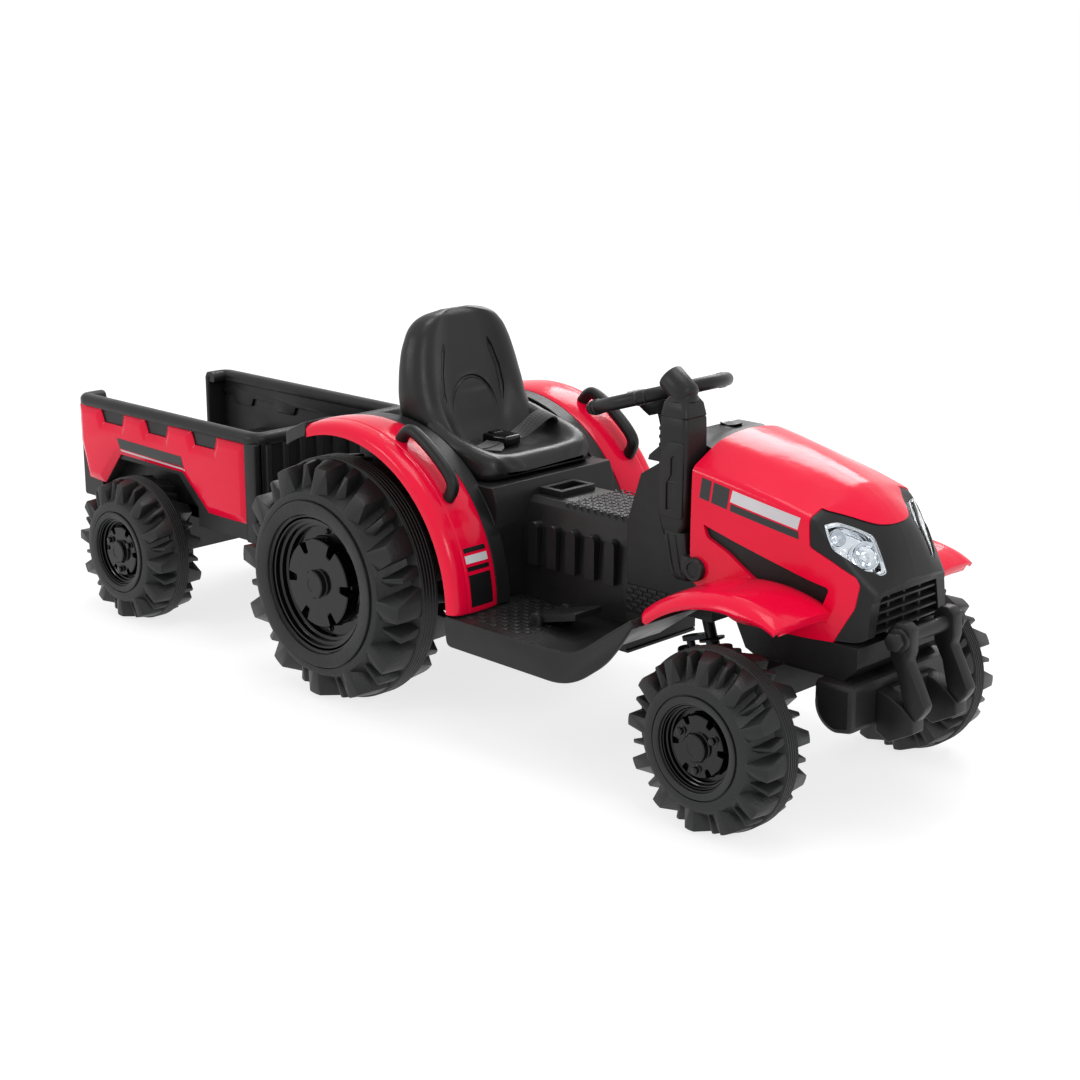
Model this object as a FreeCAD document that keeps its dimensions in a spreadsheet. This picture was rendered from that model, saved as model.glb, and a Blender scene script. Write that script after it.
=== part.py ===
"""Ride-on toy tractor with a two-wheeled trailer, as a parametric document in millimetres.

The frame has +X forward, +Y to the driver's left and +Z up. The origin is on the ground, midway between the
trailer's tail and the tip of the front linkage. Most pieces are drawn from the rear axle's station.
"""
import FreeCAD, Part
import math
import os

import Sketcher

LEFT = 1
RIGHT = -1
SIDES = (("left", LEFT), ("right", RIGHT))

# Counts and angles in degrees
REAR_LUGS = 12
FRONT_LUGS = 12
HUB_NOTCHES = 6
TUNNEL_RIBS = 5
GRILLE_BARS = 5
TRAILER_RIBS = 9
FULL_TURN = 360.0

# Driving dimensions and the sizes of each piece, in millimetres and degrees
SIZES = {
    # Layout along the tractor and trailer
    "wheelbase": 600, "front_overhang": 172, "trailer_gap": 450, "trailer_tail": 158,
    # Shared walls and clearances
    "wall": 4, "seat_gap": 0.3, "running_gap": 0.05, "overrun": 2, "axle_radius": 6, "axle_head_radius": 10,
    "axle_head_depth": 4,
    # Rear wheels
    "rear_tyre_radius": 151, "rear_tyre_width": 106, "rear_wheel_y": 158, "rear_band_width": 17,
    "rear_band_drop": 3, "rear_lug_height": 15, "rear_shoulder_drop": 6, "rear_sidewall_radius": 118,
    "rear_bead_radius": 101, "rear_dish_depth": 34, "rear_back_radius": 84, "rear_back_depth": 30,
    "rear_hub_radius": 22, "rear_cap_lip": 3, "rear_boss_radius": 17, "rear_disc_radius": 58,
    "rear_disc_height": 13, "rear_boss_height": 9, "rear_notch_length": 15, "rear_notch_width": 5,
    "rear_bolt_radius": 3.5, "rear_bolt_height": 3,
    # Front and trailer wheels
    "front_tyre_radius": 99, "front_tyre_width": 78, "front_wheel_y": 171, "front_band_width": 13,
    "front_band_drop": 2, "front_lug_height": 10, "front_shoulder_drop": 4, "front_sidewall_radius": 76,
    "front_bead_radius": 53, "front_dish_depth": 24, "front_back_radius": 50, "front_back_depth": 22,
    "front_hub_radius": 16, "front_cap_lip": 2, "front_boss_radius": 16, "front_disc_radius": 34,
    "front_disc_height": 9, "front_boss_height": 6, "front_notch_length": 9, "front_notch_width": 4,
    "front_bolt_radius": 4, "front_bolt_height": 3, "trailer_wheel_y": 146,
    # Seat base with the wheel houses
    "base_rear": 100, "base_length": 305, "base_half": 102, "base_bottom": 118, "base_height": 168,
    "arch_x": 28, "arch_z": 153, "arch_radius": 196, "arch_flange": 10, "arch_inner_y": 120,
    # Rear fenders, their tail caps and grab handles
    "fender_width": 71, "fender_skin": 3.5, "fender_crown": 4, "fender_lip": 18, "fender_flare": 7,
    "fender_sweep": 109, "tail_sweep": 12, "tail_proud": 2, "handle_y": 156, "handle_radius": 7,
    "handle_angle": 54, "handle_half_angle": 13, "handle_rise": 27,
    # Seat
    "seat_rear": 20, "seat_length": 168, "seat_height": 183, "pan_half": 62,
    "belt_width": 25, "belt_skin": 2, "belt_x": 114, "buckle_length": 44, "buckle_width": 34,
    "buckle_height": 14,
    # Floor, tunnel and cowl
    "floor_half": 190, "floor_gap": 2, "floor_bottom": 112, "floor_height": 96,
    "skirt": 6, "tunnel_half": 62, "tunnel_top": 268,
    "rib_width": 15, "rib_height": 52, "rib_low": 192, "rib_root": 10, "rib_proud": 4,
    "rib_first": 16,
    "tray_length": 36, "tray_width": 58, "tray_height": 8, "tray_rim": 7,
    "cowl_half": 62, "cowl_length": 122.7, "cowl_bottom": 198, "cowl_height": 148,
    "dash_height": 33, "dash_half": 58, "dash_length": 96, "dash_set": 26,
    "tray_plate": 4, "battery_length": 98, "battery_width": 60, "battery_height": 94, "battery_x": 62,
    "gearbox_length": 84, "gearbox_height": 58, "gearbox_width": 30, "motor_radius": 19, "motor_length": 44,
    # Pedal and controls
    "pedal_y": 112, "pedal_z": 153, "pedal_length": 62, "pedal_width": 44, "pedal_height": 22,
    "pedal_pin_radius": 3, "pedal_skin": 5, "button_radius": 9, "button_height": 7, "button_travel": 3,
    "button_y": 40, "power_radius": 8, "rocker_length": 22, "rocker_width": 13, "rocker_height": 8,
    "rocker_pin_radius": 2, "dash_control_y": 28,
    # Steering
    "column_back": 150, "column_z": 136, "column_tilt": 17.2, "column_radius": 7, "column_length": 262,
    "column_cap_radius": 8, "column_cap_height": 8, "washer_radius": 15, "washer_height": 3,
    "crank_length": 33, "crank_width": 18, "crank_height": 6, "crank_pin_radius": 5, "crank_pin_length": 16,
    "wheel_rim_radius": 77, "wheel_tube_radius": 8, "wheel_hub_radius": 28, "wheel_hub_height": 22,
    "spoke_width": 24, "spoke_height": 14,
    "kingpin_y": 112, "kingpin_radius": 6, "boss_radius": 12, "beam_half_width": 15, "beam_bottom": 124,
    "beam_height": 39, "arm_length": 55, "arm_width": 16, "arm_height": 7, "link_pin_radius": 4,
    "tie_height": 5, "tie_width": 16, "crank_slack": 4,
    # Hood and nose
    "hood_back": 103, "hood_length": 203, "hood_half": 98, "hood_bottom": 200, "hood_height": 184,
    "nose_reach": 20, "vent_skin": 3, "lens_skin": 2.5, "lamp_length": 49, "lamp_height": 71, "lamp_depth": 14,
    "grille_half_top": 50, "grille_half_bottom": 58, "grille_depth": 8, "grille_bar": 4,
    # Front chassis, weight block and linkage
    "chassis_back": 55, "chassis_half": 80, "chassis_length": 163, "chassis_bottom": 152, "spine_back": 188,
    "spine_half": 45, "spine_height": 14, "bearing_length": 50, "bearing_half": 16, "bearing_bottom": 160,
    "weight_half": 92, "weight_lead": 62, "weight_length": 50, "weight_bottom": 106,
    "link_y": 40, "link_thickness": 17, "link_length": 72, "link_bottom": 92, "link_height": 136,
    "link_bar_radius": 11, "link_bar_half": 62, "knob_radius": 15, "knob_length": 13,
    # Front fenders
    "guard_x": 4, "guard_z": 80, "guard_radius": 177, "guard_inner_y": 84, "guard_outer_y": 180,
    "guard_skin": 3.5, "guard_crown": 5, "guard_lip": 14, "guard_flare": 8, "guard_sweep": 67, "guard_start": 62,
    # Exhaust on the driver's right
    "stack_back": 150, "stack_length": 40, "stack_width": 38, "stack_bottom": 274, "stack_height": 157,
    "slot_width": 12, "tip_radius": 15, "tip_length": 34, "tip_tilt": 25, "neck_radius": 13, "elbow_z": 258,
    "elbow_bend": 15, "elbow_flange": 19,
    # Trailer
    "tub_front": 205, "tub_half": 127, "tub_bottom": 145, "tub_floor": 16, "tub_top": 277, "rail_half": 135,
    "rail_height": 15, "rail_width": 20, "panel_skin": 4, "panel_bottom": 168, "pillar": 23,
    "tub_rib_depth": 5, "tub_rib_width": 9, "rail_return": 34, "axle_block_length": 90, "axle_block_half": 92,
    "axle_block_drop": 16, "well_gap": 12, "drawbar_width": 30, "drawbar_z": 129, "hitch_back": 150, "hitch_radius": 7,
    "hitch_eye_radius": 18, "hitch_head_radius": 13, "hitch_head_height": 6, "tongue_height": 12,
}


class Dim:
    """A size that keeps its value together with the sheet formula it comes from."""

    def __init__(self, value, formula):
        self.value = float(value)
        self.formula = formula

    def __add__(self, other):
        other = as_dim(other)
        return Dim(self.value + other.value, f"({self.formula} + {other.formula})")

    def __sub__(self, other):
        other = as_dim(other)
        return Dim(self.value - other.value, f"({self.formula} - {other.formula})")

    def __rsub__(self, other):
        return as_dim(other) - self

    def __mul__(self, share):
        share = as_dim(share)
        return Dim(self.value * share.value, f"({self.formula} * {share.formula})")

    def __truediv__(self, share):
        share = as_dim(share)
        return Dim(self.value / share.value, f"({self.formula} / {share.formula})")

    def __neg__(self):
        return Dim(-self.value, f"(0 - {self.formula})")

    __radd__ = __add__
    __rmul__ = __mul__


def as_dim(thing):
    """Turn a plain number into a size without a sheet cell."""
    if isinstance(thing, Dim):
        return thing
    return Dim(thing, repr(float(thing)))


class Via:
    """A point that the arc between its two neighbours in an outline passes through."""

    def __init__(self, x, y):
        self.point = (x, y)


doc = FreeCAD.newDocument("RideOnTractor")
sheet = doc.addObject("Spreadsheet::Sheet", "Sizes")


class Sheet:
    """Each named size of the spreadsheet, as an attribute."""


d = Sheet()
for line, (alias, number) in enumerate(SIZES.items(), start=1):
    sheet.set(f"A{line}", alias)
    sheet.set(f"B{line}", str(number))
    sheet.setAlias(f"B{line}", alias)
    setattr(d, alias, Dim(number, f"Sizes.{alias}"))
doc.recompute()

ZERO = Dim(0, "0")
# Stations of the three axles along X
rear_x = (d.trailer_gap + d.trailer_tail - d.wheelbase - d.front_overhang) / 2
front_x = rear_x + d.wheelbase
trailer_x = rear_x - d.trailer_gap
# Stations along X from the rear axle: the nose follows the front axle, and floor and tunnel fill what is left
base_front = d.base_length - d.base_rear
TONGUE_ROOT_SHARE = 0.24
tongue_front = d.base_rear * (TONGUE_ROOT_SHARE - 1)
hood_rear = d.wheelbase - d.hood_back
cowl_rear = hood_rear - d.seat_gap - d.cowl_length
tunnel_length = cowl_rear - d.seat_gap - base_front
floor_rear = base_front + d.floor_gap
floor_length = hood_rear - floor_rear
column_x = d.wheelbase - d.column_back
chassis_x = d.wheelbase - d.chassis_back
spine_rear = d.wheelbase - d.spine_back
weight_rear = d.wheelbase + d.weight_lead
stack_x = d.wheelbase - d.stack_back
PEDAL_PLACE_SHARE = 0.32
pedal_x = floor_rear + floor_length * PEDAL_PLACE_SHARE

nodes = []


def bind(thing, field, size):
    """Tie one property of an object to its sheet formula."""
    thing.setExpression(field, as_dim(size).formula)


def place(thing, x=ZERO, y=ZERO, z=ZERO, axis=None, angle=ZERO):
    """Place an object at a station, turned about one axis through it."""
    spots = [as_dim(size) for size in (x, y, z)]
    turn = FreeCAD.Rotation()
    if axis:
        turn = FreeCAD.Rotation(FreeCAD.Vector(*axis), as_dim(angle).value)
    thing.Placement = FreeCAD.Placement(FreeCAD.Vector(*[spot.value for spot in spots]), turn)
    for letter, spot in zip("xyz", spots):
        bind(thing, f"Placement.Base.{letter}", spot)
    if axis and as_dim(angle).value:
        bind(thing, "Placement.Rotation.Angle", angle)
    return thing


def new_body(label, x=ZERO, y=ZERO, z=ZERO, axis=None, angle=ZERO, node=True):
    """Start a body; a node is a piece of the object and is written to its own file."""
    body = doc.addObject("PartDesign::Body", label)
    body.Label = label
    place(body, x, y, z, axis, angle)
    if node:
        nodes.append(body)
    return body


def origin_feature(body, role):
    """Find an origin plane or axis of a body by its role."""
    return next(item for item in body.Origin.OriginFeatures if item.Role == role)


def pin_point(sketch, limits, formulas, spot, geometry, vertex):
    """Fix one point of a sketch at a pair of sizes."""
    for kind, axis, size in (("DistanceX", -2, spot[0]), ("DistanceY", -1, spot[1])):
        size = as_dim(size)
        if size.formula in ("0", "0.0"):
            limits.append(Sketcher.Constraint("PointOnObject", geometry, vertex, axis))
        else:
            limits.append(Sketcher.Constraint(kind, -1, 1, geometry, vertex, size.value))
            formulas[len(limits) - 1] = size.formula


def new_sketch(body, plane, lift=ZERO, shift=(ZERO, ZERO), turn=None):
    """Add an empty sketch on an origin plane, lifted along its normal and turned about its own axes."""
    sketch = body.newObject("Sketcher::SketchObject", f"{body.Name}_sketch")
    sketch.AttachmentSupport = (origin_feature(body, plane), [""])
    sketch.MapMode = "FlatFace"
    spots = [as_dim(size) for size in (shift[0], shift[1], lift)]
    base = FreeCAD.Vector(*[spot.value for spot in spots])
    sketch.AttachmentOffset = FreeCAD.Placement(base, turn or FreeCAD.Rotation())
    for letter, spot in zip("xyz", spots):
        bind(sketch, f"AttachmentOffset.Base.{letter}", spot)
    return sketch


def draw(sketch, points, closed=True):
    """Draw straight runs, and arcs where a Via stands between two points, each point tied to its sizes."""
    corners = [point for point in points if not isinstance(point, Via)]
    spots = [FreeCAD.Vector(as_dim(x).value, as_dim(y).value, 0) for x, y in corners]
    vias = {}
    count = 0
    for point in points:
        if isinstance(point, Via):
            vias[count - 1] = point
        else:
            count += 1
    shapes = []
    runs = count if closed else count - 1
    for index in range(runs):
        start = spots[index]
        end = spots[(index + 1) % count]
        if index in vias:
            x, y = vias[index].point
            middle = FreeCAD.Vector(as_dim(x).value, as_dim(y).value, 0)
            turning = (middle - start).cross(end - start).z
            shapes.append(Part.Arc(start, middle, end) if turning > 0 else Part.Arc(end, middle, start))
        else:
            shapes.append(Part.LineSegment(start, end))
    first = sketch.addGeometry(shapes, False)
    first = first[0] if isinstance(first, (tuple, list)) else first
    limits = []
    formulas = {}
    ends = []
    for index, shape in enumerate(shapes):
        forward = True
        if index in vias:
            drawn = sketch.Geometry[first + index]
            forward = (drawn.StartPoint - spots[index]).Length < (drawn.EndPoint - spots[index]).Length
        ends.append((1, 2) if forward else (2, 1))
    for index in range(runs):
        pin_point(sketch, limits, formulas, corners[index], first + index, ends[index][0])
        if closed or index + 1 < runs:
            follower = (index + 1) % runs
            limits.append(Sketcher.Constraint(
                "Coincident", first + index, ends[index][1], first + follower, ends[follower][0]))
    if not closed:
        pin_point(sketch, limits, formulas, corners[-1], first + runs - 1, ends[-1][1])
    for index, via in vias.items():
        x, y = via.point
        spot = FreeCAD.Vector(as_dim(x).value, as_dim(y).value, 0)
        mark = sketch.addGeometry(Part.Point(spot), True)
        pin_point(sketch, limits, formulas, via.point, mark, 1)
        limits.append(Sketcher.Constraint("PointOnObject", mark, 1, first + index))
    sketch.addConstraint(limits)
    for index, formula in formulas.items():
        sketch.setExpression(f"Constraints[{index}]", formula)
    return sketch


def draw_circle(sketch, radius, centre=(0, 0)):
    """Draw a circle tied to its radius and centre."""
    middle = FreeCAD.Vector(as_dim(centre[0]).value, as_dim(centre[1]).value, 0)
    ring = sketch.addGeometry(Part.Circle(middle, FreeCAD.Vector(0, 0, 1), as_dim(radius).value), False)
    limits = []
    formulas = {}
    pin_point(sketch, limits, formulas, centre, ring, 3)
    limits.append(Sketcher.Constraint("Radius", ring, as_dim(radius).value))
    formulas[len(limits) - 1] = as_dim(radius).formula
    sketch.addConstraint(limits)
    for index, formula in formulas.items():
        sketch.setExpression(f"Constraints[{index}]", formula)
    return sketch


def in_box(low, size, shares):
    """Turn a table of shares into points inside a box given by its low corner and size."""
    points = []
    for share in shares:
        x = low[0] + size[0] * share[0]
        y = low[1] + size[1] * share[1]
        points.append(Via(x, y) if len(share) > 2 else (x, y))
    return points


def rectangle(x0, x1, y0, y1):
    """Corners of a rectangle."""
    return [(x0, y0), (x1, y0), (x1, y1), (x0, y1)]


def extrude(body, plane, points, start, end, cut=False, radius=None, taper=None):
    """Pad or cut an outline, or a circle at a point, from one offset to another along the plane's axis."""
    backward = plane == "XZ_Plane"
    start = as_dim(start)
    end = as_dim(end)
    sketch = new_sketch(body, plane, -start if backward else start)
    if radius is None:
        draw(sketch, points)
    else:
        draw_circle(sketch, radius, points)
    feature = body.newObject("PartDesign::Pocket" if cut else "PartDesign::Pad", f"{body.Name}_feature")
    feature.Profile = sketch
    length = end - start
    feature.Length = length.value
    bind(feature, "Length", length)
    feature.Reversed = backward != cut
    if taper is not None:
        feature.TaperAngle = taper
    return feature


def revolve(body, plane, points, cut=False, angle=None, reverse=False, axis="V_Axis", lift=ZERO):
    """Turn an outline about one of its sketch's axes."""
    sketch = draw(new_sketch(body, plane, lift), points)
    feature = body.newObject("PartDesign::Groove" if cut else "PartDesign::Revolution", f"{body.Name}_feature")
    feature.Profile = sketch
    feature.ReferenceAxis = (sketch, [axis])
    feature.Reversed = reverse
    if angle is None:
        feature.Angle = FULL_TURN
    else:
        feature.Angle = angle.value
        bind(feature, "Angle", angle)
    return feature


def polar(body, features, count, axis="Y_Axis"):
    """Repeat features evenly round an axis of the body."""
    doc.recompute()
    pattern = body.newObject("PartDesign::PolarPattern", f"{body.Name}_pattern")
    pattern.Originals = features
    pattern.Axis = (origin_feature(body, axis), [""])
    pattern.Angle = FULL_TURN
    pattern.Occurrences = count
    body.Tip = pattern
    return pattern


def in_row(body, features, count, pitch, axis="X_Axis"):
    """Repeat features in a row along an axis of the body."""
    doc.recompute()
    pattern = body.newObject("PartDesign::LinearPattern", f"{body.Name}_pattern")
    pattern.Originals = features
    pattern.Direction = (origin_feature(body, axis), [""])
    length = pitch * (count - 1)
    pattern.Length = length.value
    bind(pattern, "Length", length)
    pattern.Occurrences = count
    body.Tip = pattern
    return pattern


def joined(label, kind, base, tool, x=ZERO, y=ZERO, z=ZERO, node=True):
    """Combine two objects with a boolean of the given kind."""
    result = doc.addObject(f"Part::{kind}", label)
    result.Label = label
    result.Base = base
    result.Tool = tool
    place(result, x, y, z)
    if node:
        nodes.append(result)
    return result


# Wheels

# Shares of the half width and of the drop at the lug's outer corner
LUG_CORNER_SHARE = 0.86
# Gap between two long lugs with a short one in it: shares of the pitch across, and of the slanted length outwards
GAP_SHARES = ((0.25, 0.02), (0.40, 0.02), (0.35, 0.50), (0.36, 0.58), (0.46, 0.58), (0.52, 0.50), (0.60, 0.02),
              (0.75, 0.02), (0.64, 0.60), (0.72, 1.15), (0.18, 1.15), (0.12, 0.60))
HALF_SHARE = 0.5


def tyre(label, kind, side, x, y, lugs, inner_face):
    """A moulded wheel with its tyre: a revolved body whose lugs stand between patterned gaps."""
    size = {key: getattr(d, f"{kind}_{key}") for key in (
        "tyre_radius", "tyre_width", "band_width", "band_drop", "lug_height", "shoulder_drop",
        "sidewall_radius", "bead_radius", "dish_depth", "back_radius", "back_depth", "hub_radius")}
    body = new_body(label, x, y * side, size["tyre_radius"])
    half = size["tyre_width"] / 2
    band = size["band_width"] / 2
    bore = d.axle_radius + d.running_gap
    web = half - size["dish_depth"]
    back = half - size["back_depth"]
    reach = y - inner_face - d.seat_gap
    crown = size["tyre_radius"]
    corner = half * LUG_CORNER_SHARE
    shoulder = crown - size["shoulder_drop"]
    lug_top = crown - size["band_drop"]
    section = [
        (bore, web), (size["bead_radius"], web), (size["bead_radius"], half), (size["sidewall_radius"], half),
        (shoulder, corner), (lug_top, band), (crown, band), (crown, -band), (lug_top, -band),
        (shoulder, -corner), (size["sidewall_radius"], -half), (size["back_radius"], -half),
        (size["back_radius"], -back), (size["hub_radius"], -back), (size["hub_radius"], -reach), (bore, -reach)]
    revolve(body, "XY_Plane", [(radius, axial * side) for radius, axial in section])
    floor = crown - size["lug_height"]
    fall = floor - size["sidewall_radius"]
    run = half - band
    slope = math.degrees(math.atan2(fall.value, run.value))
    slant = run / math.cos(math.radians(slope))
    pitch = floor * (2 * math.pi / lugs)
    gaps = []
    for face, stagger in ((1, 0), (-1, FULL_TURN / lugs / 2)):
        points = [(pitch * (across - HALF_SHARE), slant * along * face) for across, along in GAP_SHARES]
        spin = FreeCAD.Rotation(FreeCAD.Vector(0, 1, 0), stagger)
        tilt = FreeCAD.Rotation(FreeCAD.Vector(1, 0, 0), -slope * face)
        rise = math.cos(math.radians(stagger))
        lean = math.sin(math.radians(stagger))
        sketch = new_sketch(body, "XY_Plane", floor * rise, (floor * lean, band * face), spin * tilt)
        draw(sketch, points)
        gap = body.newObject("PartDesign::Pocket", f"{label}_gap")
        gap.Profile = sketch
        gap.Reversed = True
        depth = size["lug_height"] * 2
        gap.Length = depth.value
        bind(gap, "Length", depth)
        gaps.append(gap)
    polar(body, gaps, lugs)
    return body


# Revolved hub cap: shares of the bead radius, and of the depth from the dish floor to the outer lip
CAP_SHARES = ((0.66, 0.10), (0.70, 0.10), (0.72, 0.34), (0.80, 0.40), (0.83, 0.72), (0.90, 0.80), (0.93, 1.0))
CAP_BACK_SHARES = ((0.955, 0.86), (0.955, 0.70), (0.87, 0.62), (0.85, 0.24), (0.78, 0.0))


def hubcap(label, kind, side, x, y):
    """A glossy stepped hub cap that seats on the dish floor, with notches and bolts round its disc."""
    size = {key: getattr(d, f"{kind}_{key}") for key in (
        "tyre_radius", "tyre_width", "bead_radius", "dish_depth", "cap_lip", "boss_radius", "disc_radius",
        "disc_height", "boss_height", "notch_length", "notch_width", "bolt_radius", "bolt_height")}
    body = new_body(label, x, y * side, size["tyre_radius"])
    half = size["tyre_width"] / 2
    seat = half - size["dish_depth"]
    depth = size["dish_depth"] + size["cap_lip"]
    rim = size["bead_radius"] - d.seat_gap
    disc = seat + size["disc_height"]
    boss = disc + size["boss_height"]
    pocket = seat + d.axle_head_depth + d.seat_gap * 2
    section = [(0, boss), (size["boss_radius"], boss), (size["boss_radius"] + d.wall / 2, disc),
               (size["disc_radius"], disc)]
    section += [(rim * radius, seat + depth * along) for radius, along in CAP_SHARES]
    section += [(rim, seat + depth)]
    section += [(rim, seat + depth * CAP_BACK_SHARES[0][1])]
    section += [(rim * radius, seat + depth * along) for radius, along in CAP_BACK_SHARES]
    section += [(d.axle_head_radius + d.seat_gap * 2, seat), (d.axle_head_radius + d.seat_gap * 2, pocket),
                (0, pocket)]
    revolve(body, "XY_Plane", [(radius, axial * side) for radius, axial in section])
    outer = size["disc_radius"] + d.overrun
    inner = size["disc_radius"] - size["notch_length"]
    slot = rectangle(inner, outer, -size["notch_width"] / 2, size["notch_width"] / 2)
    top = disc + d.overrun
    floor = disc - d.wall
    start, end = (floor, top) if side > 0 else (-top, -floor)
    notch = extrude(body, "XZ_Plane", slot, start, end, cut=True)
    polar(body, [notch], HUB_NOTCHES)
    spot = (size["boss_radius"] + size["disc_radius"]) / 2
    start, end = (disc, disc + size["bolt_height"])
    if side < 0:
        start, end = -end, -start
    angle = math.radians(FULL_TURN / HUB_NOTCHES / 2)
    centre = (spot * math.cos(angle), spot * math.sin(angle))
    bolt = extrude(body, "XZ_Plane", centre, start, end, radius=size["bolt_radius"])
    polar(body, [bolt], HUB_NOTCHES)
    return body


def axle(label, x, z, half, head):
    """A steel rod along Y with an upset head outside each wheel's web."""
    body = new_body(label, x, ZERO, z)
    end = half + d.seat_gap + head
    revolve(body, "XY_Plane", [
        (0, -end), (d.axle_head_radius, -end), (d.axle_head_radius, -half - d.seat_gap),
        (d.axle_radius, -half - d.seat_gap), (d.axle_radius, half + d.seat_gap),
        (d.axle_head_radius, half + d.seat_gap), (d.axle_head_radius, end), (0, end)])
    return body


def wheels():
    """All six wheels with their hub caps, and the two straight axles."""
    for name, side in SIDES:
        tyre(f"rear_tyre_{name}", "rear", side, rear_x, d.rear_wheel_y, REAR_LUGS, d.base_half)
        hubcap(f"rear_hubcap_{name}", "rear", side, rear_x, d.rear_wheel_y)
        collar = d.kingpin_y + d.boss_radius
        tyre(f"front_tyre_{name}", "front", side, front_x, d.front_wheel_y, FRONT_LUGS, collar)
        hubcap(f"front_hubcap_{name}", "front", side, front_x, d.front_wheel_y)
        tyre(f"trailer_tyre_{name}", "front", side, trailer_x, d.trailer_wheel_y, FRONT_LUGS, d.axle_block_half)
        hubcap(f"trailer_hubcap_{name}", "front", side, trailer_x, d.trailer_wheel_y)
    rear_web = d.rear_wheel_y + d.rear_tyre_width / 2 - d.rear_dish_depth
    axle("rear_axle", rear_x, d.rear_tyre_radius, rear_web, d.axle_head_depth)
    trailer_web = d.trailer_wheel_y + d.front_tyre_width / 2 - d.front_dish_depth
    axle("trailer_axle", trailer_x, d.front_tyre_radius, trailer_web, d.axle_head_depth)


def arc_point(centre, radius, degrees):
    """A point at an angle above the forward direction round a centre in the side view."""
    angle = math.radians(degrees)
    return (centre[0] + radius * math.cos(angle), centre[1] + radius * math.sin(angle))


def sector(centre, inner, outer, start, end):
    """Outline of a ring sector in the side view."""
    middle = (start + end) / 2
    return [arc_point(centre, outer, start), Via(*arc_point(centre, outer, middle)),
            arc_point(centre, outer, end), arc_point(centre, inner, end),
            Via(*arc_point(centre, inner, middle)), arc_point(centre, inner, start)]


def span(side, near, far):
    """Offsets along +Y of a slab between two distances from the middle plane, on one side."""
    return (near, far) if side > 0 else (-far, -near)


def group(label, members):
    """Several separate solids that share one node."""
    result = doc.addObject("Part::Compound", label)
    result.Label = label
    result.Links = members
    nodes.append(result)
    return result


# Seat base with wheel houses, undertray, battery and gear motors
BASE_SHARES = ((0.04, 0), (1, 0), (1, 0.9), (0.98, 1), (0.26, 1), (0.10, 0.92), (0, 0.52))


def seat_base():
    """Hollow pedestal under the seat with a wheel house each side and the tow tongue behind."""
    body = new_body("seat_base", rear_x)
    low = (-d.base_rear, d.base_bottom)
    size = (d.base_length, d.base_height)
    extrude(body, "XZ_Plane", in_box(low, size, BASE_SHARES), -d.base_half, d.base_half)
    inner_low = (d.wall - d.base_rear, d.base_bottom - d.overrun)
    inner_size = (d.base_length - d.wall * 2, d.base_height - d.wall + d.overrun)
    inner_half = d.base_half - d.wall
    extrude(body, "XZ_Plane", in_box(inner_low, inner_size, BASE_SHARES), -inner_half, inner_half, cut=True)
    centre = (d.arch_x, d.arch_z)
    sweep = d.fender_sweep.value
    rear_tip = arc_point(centre, d.arch_radius, sweep)
    plate = [arc_point(centre, d.arch_radius, 0), Via(*arc_point(centre, d.arch_radius, sweep / 2)), rear_tip,
             (rear_tip[0], d.arch_z)]
    flange = sector(centre, d.arch_radius - d.arch_flange, d.arch_radius, 0, sweep)
    for side in (LEFT, RIGHT):
        extrude(body, "XZ_Plane", plate, *span(side, inner_half, d.base_half))
        extrude(body, "XZ_Plane", flange, *span(side, inner_half, d.arch_inner_y - d.seat_gap))
    tongue_top = d.drawbar_z - d.seat_gap
    tongue_low = tongue_top - d.tongue_height
    half = d.drawbar_width / 2
    tongue = rectangle(-d.hitch_back, tongue_front, -half, half)
    extrude(body, "XY_Plane", tongue, tongue_low, tongue_top)
    eye = (-d.hitch_back, 0)
    extrude(body, "XY_Plane", eye, tongue_low, tongue_top, radius=d.hitch_eye_radius)
    extrude(body, "XY_Plane", eye, tongue_low - d.overrun, tongue_top + d.overrun, cut=True,
            radius=d.hitch_radius + d.running_gap)
    bore = d.axle_radius + d.running_gap
    extrude(body, "XZ_Plane", (ZERO, d.rear_tyre_radius), -d.base_half - d.overrun, d.base_half + d.overrun,
            cut=True, radius=bore)
    return body


def inner_works():
    """Undertray, battery and the two gear motors on the rear axle."""
    tray = new_body("undertray", rear_x)
    tray_rear = tongue_front + d.seat_gap
    tray_end = floor_rear + tunnel_length
    half = d.tunnel_half - d.overrun
    extrude(tray, "XY_Plane", rectangle(tray_rear, tray_end, -half, half), d.base_bottom - d.tray_plate,
            d.base_bottom)
    battery = new_body("battery", rear_x)
    half = d.battery_width / 2
    case = rectangle(d.battery_x, d.battery_x + d.battery_length, -half, half)
    extrude(battery, "XY_Plane", case, d.base_bottom, d.base_bottom + d.battery_height)
    post = d.wall * 2
    for spot in (post, d.battery_length - post):
        extrude(battery, "XY_Plane", (d.battery_x + spot, half / 2), d.base_bottom + d.battery_height,
                d.base_bottom + d.battery_height + d.wall, radius=d.wall)
    motors = []
    for name, side in SIDES:
        body = new_body(f"gear_motor_{name}", rear_x, node=False)
        outer = d.base_half - d.wall - d.seat_gap
        near = outer - d.gearbox_width
        drop = d.gearbox_height / 2
        case = rectangle(-drop, d.gearbox_length - drop, d.rear_tyre_radius - drop, d.rear_tyre_radius + drop)
        extrude(body, "XZ_Plane", case, *span(side, near, outer))
        can = (d.gearbox_length - drop - d.motor_radius, d.rear_tyre_radius)
        extrude(body, "XZ_Plane", can, *span(side, near - d.motor_length, near), radius=d.motor_radius)
        clear = span(side, near - d.overrun, outer + d.overrun)
        extrude(body, "XZ_Plane", (ZERO, d.rear_tyre_radius), *clear, cut=True,
                radius=d.axle_radius + d.running_gap)
        motors.append(body)
    group("gear_motors", motors)


# Rear fenders: shares of the width at the crown, and of the crown at the outer crease
CROWN_SHARE = 0.42
CREASE_SHARE = 0.75


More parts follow.
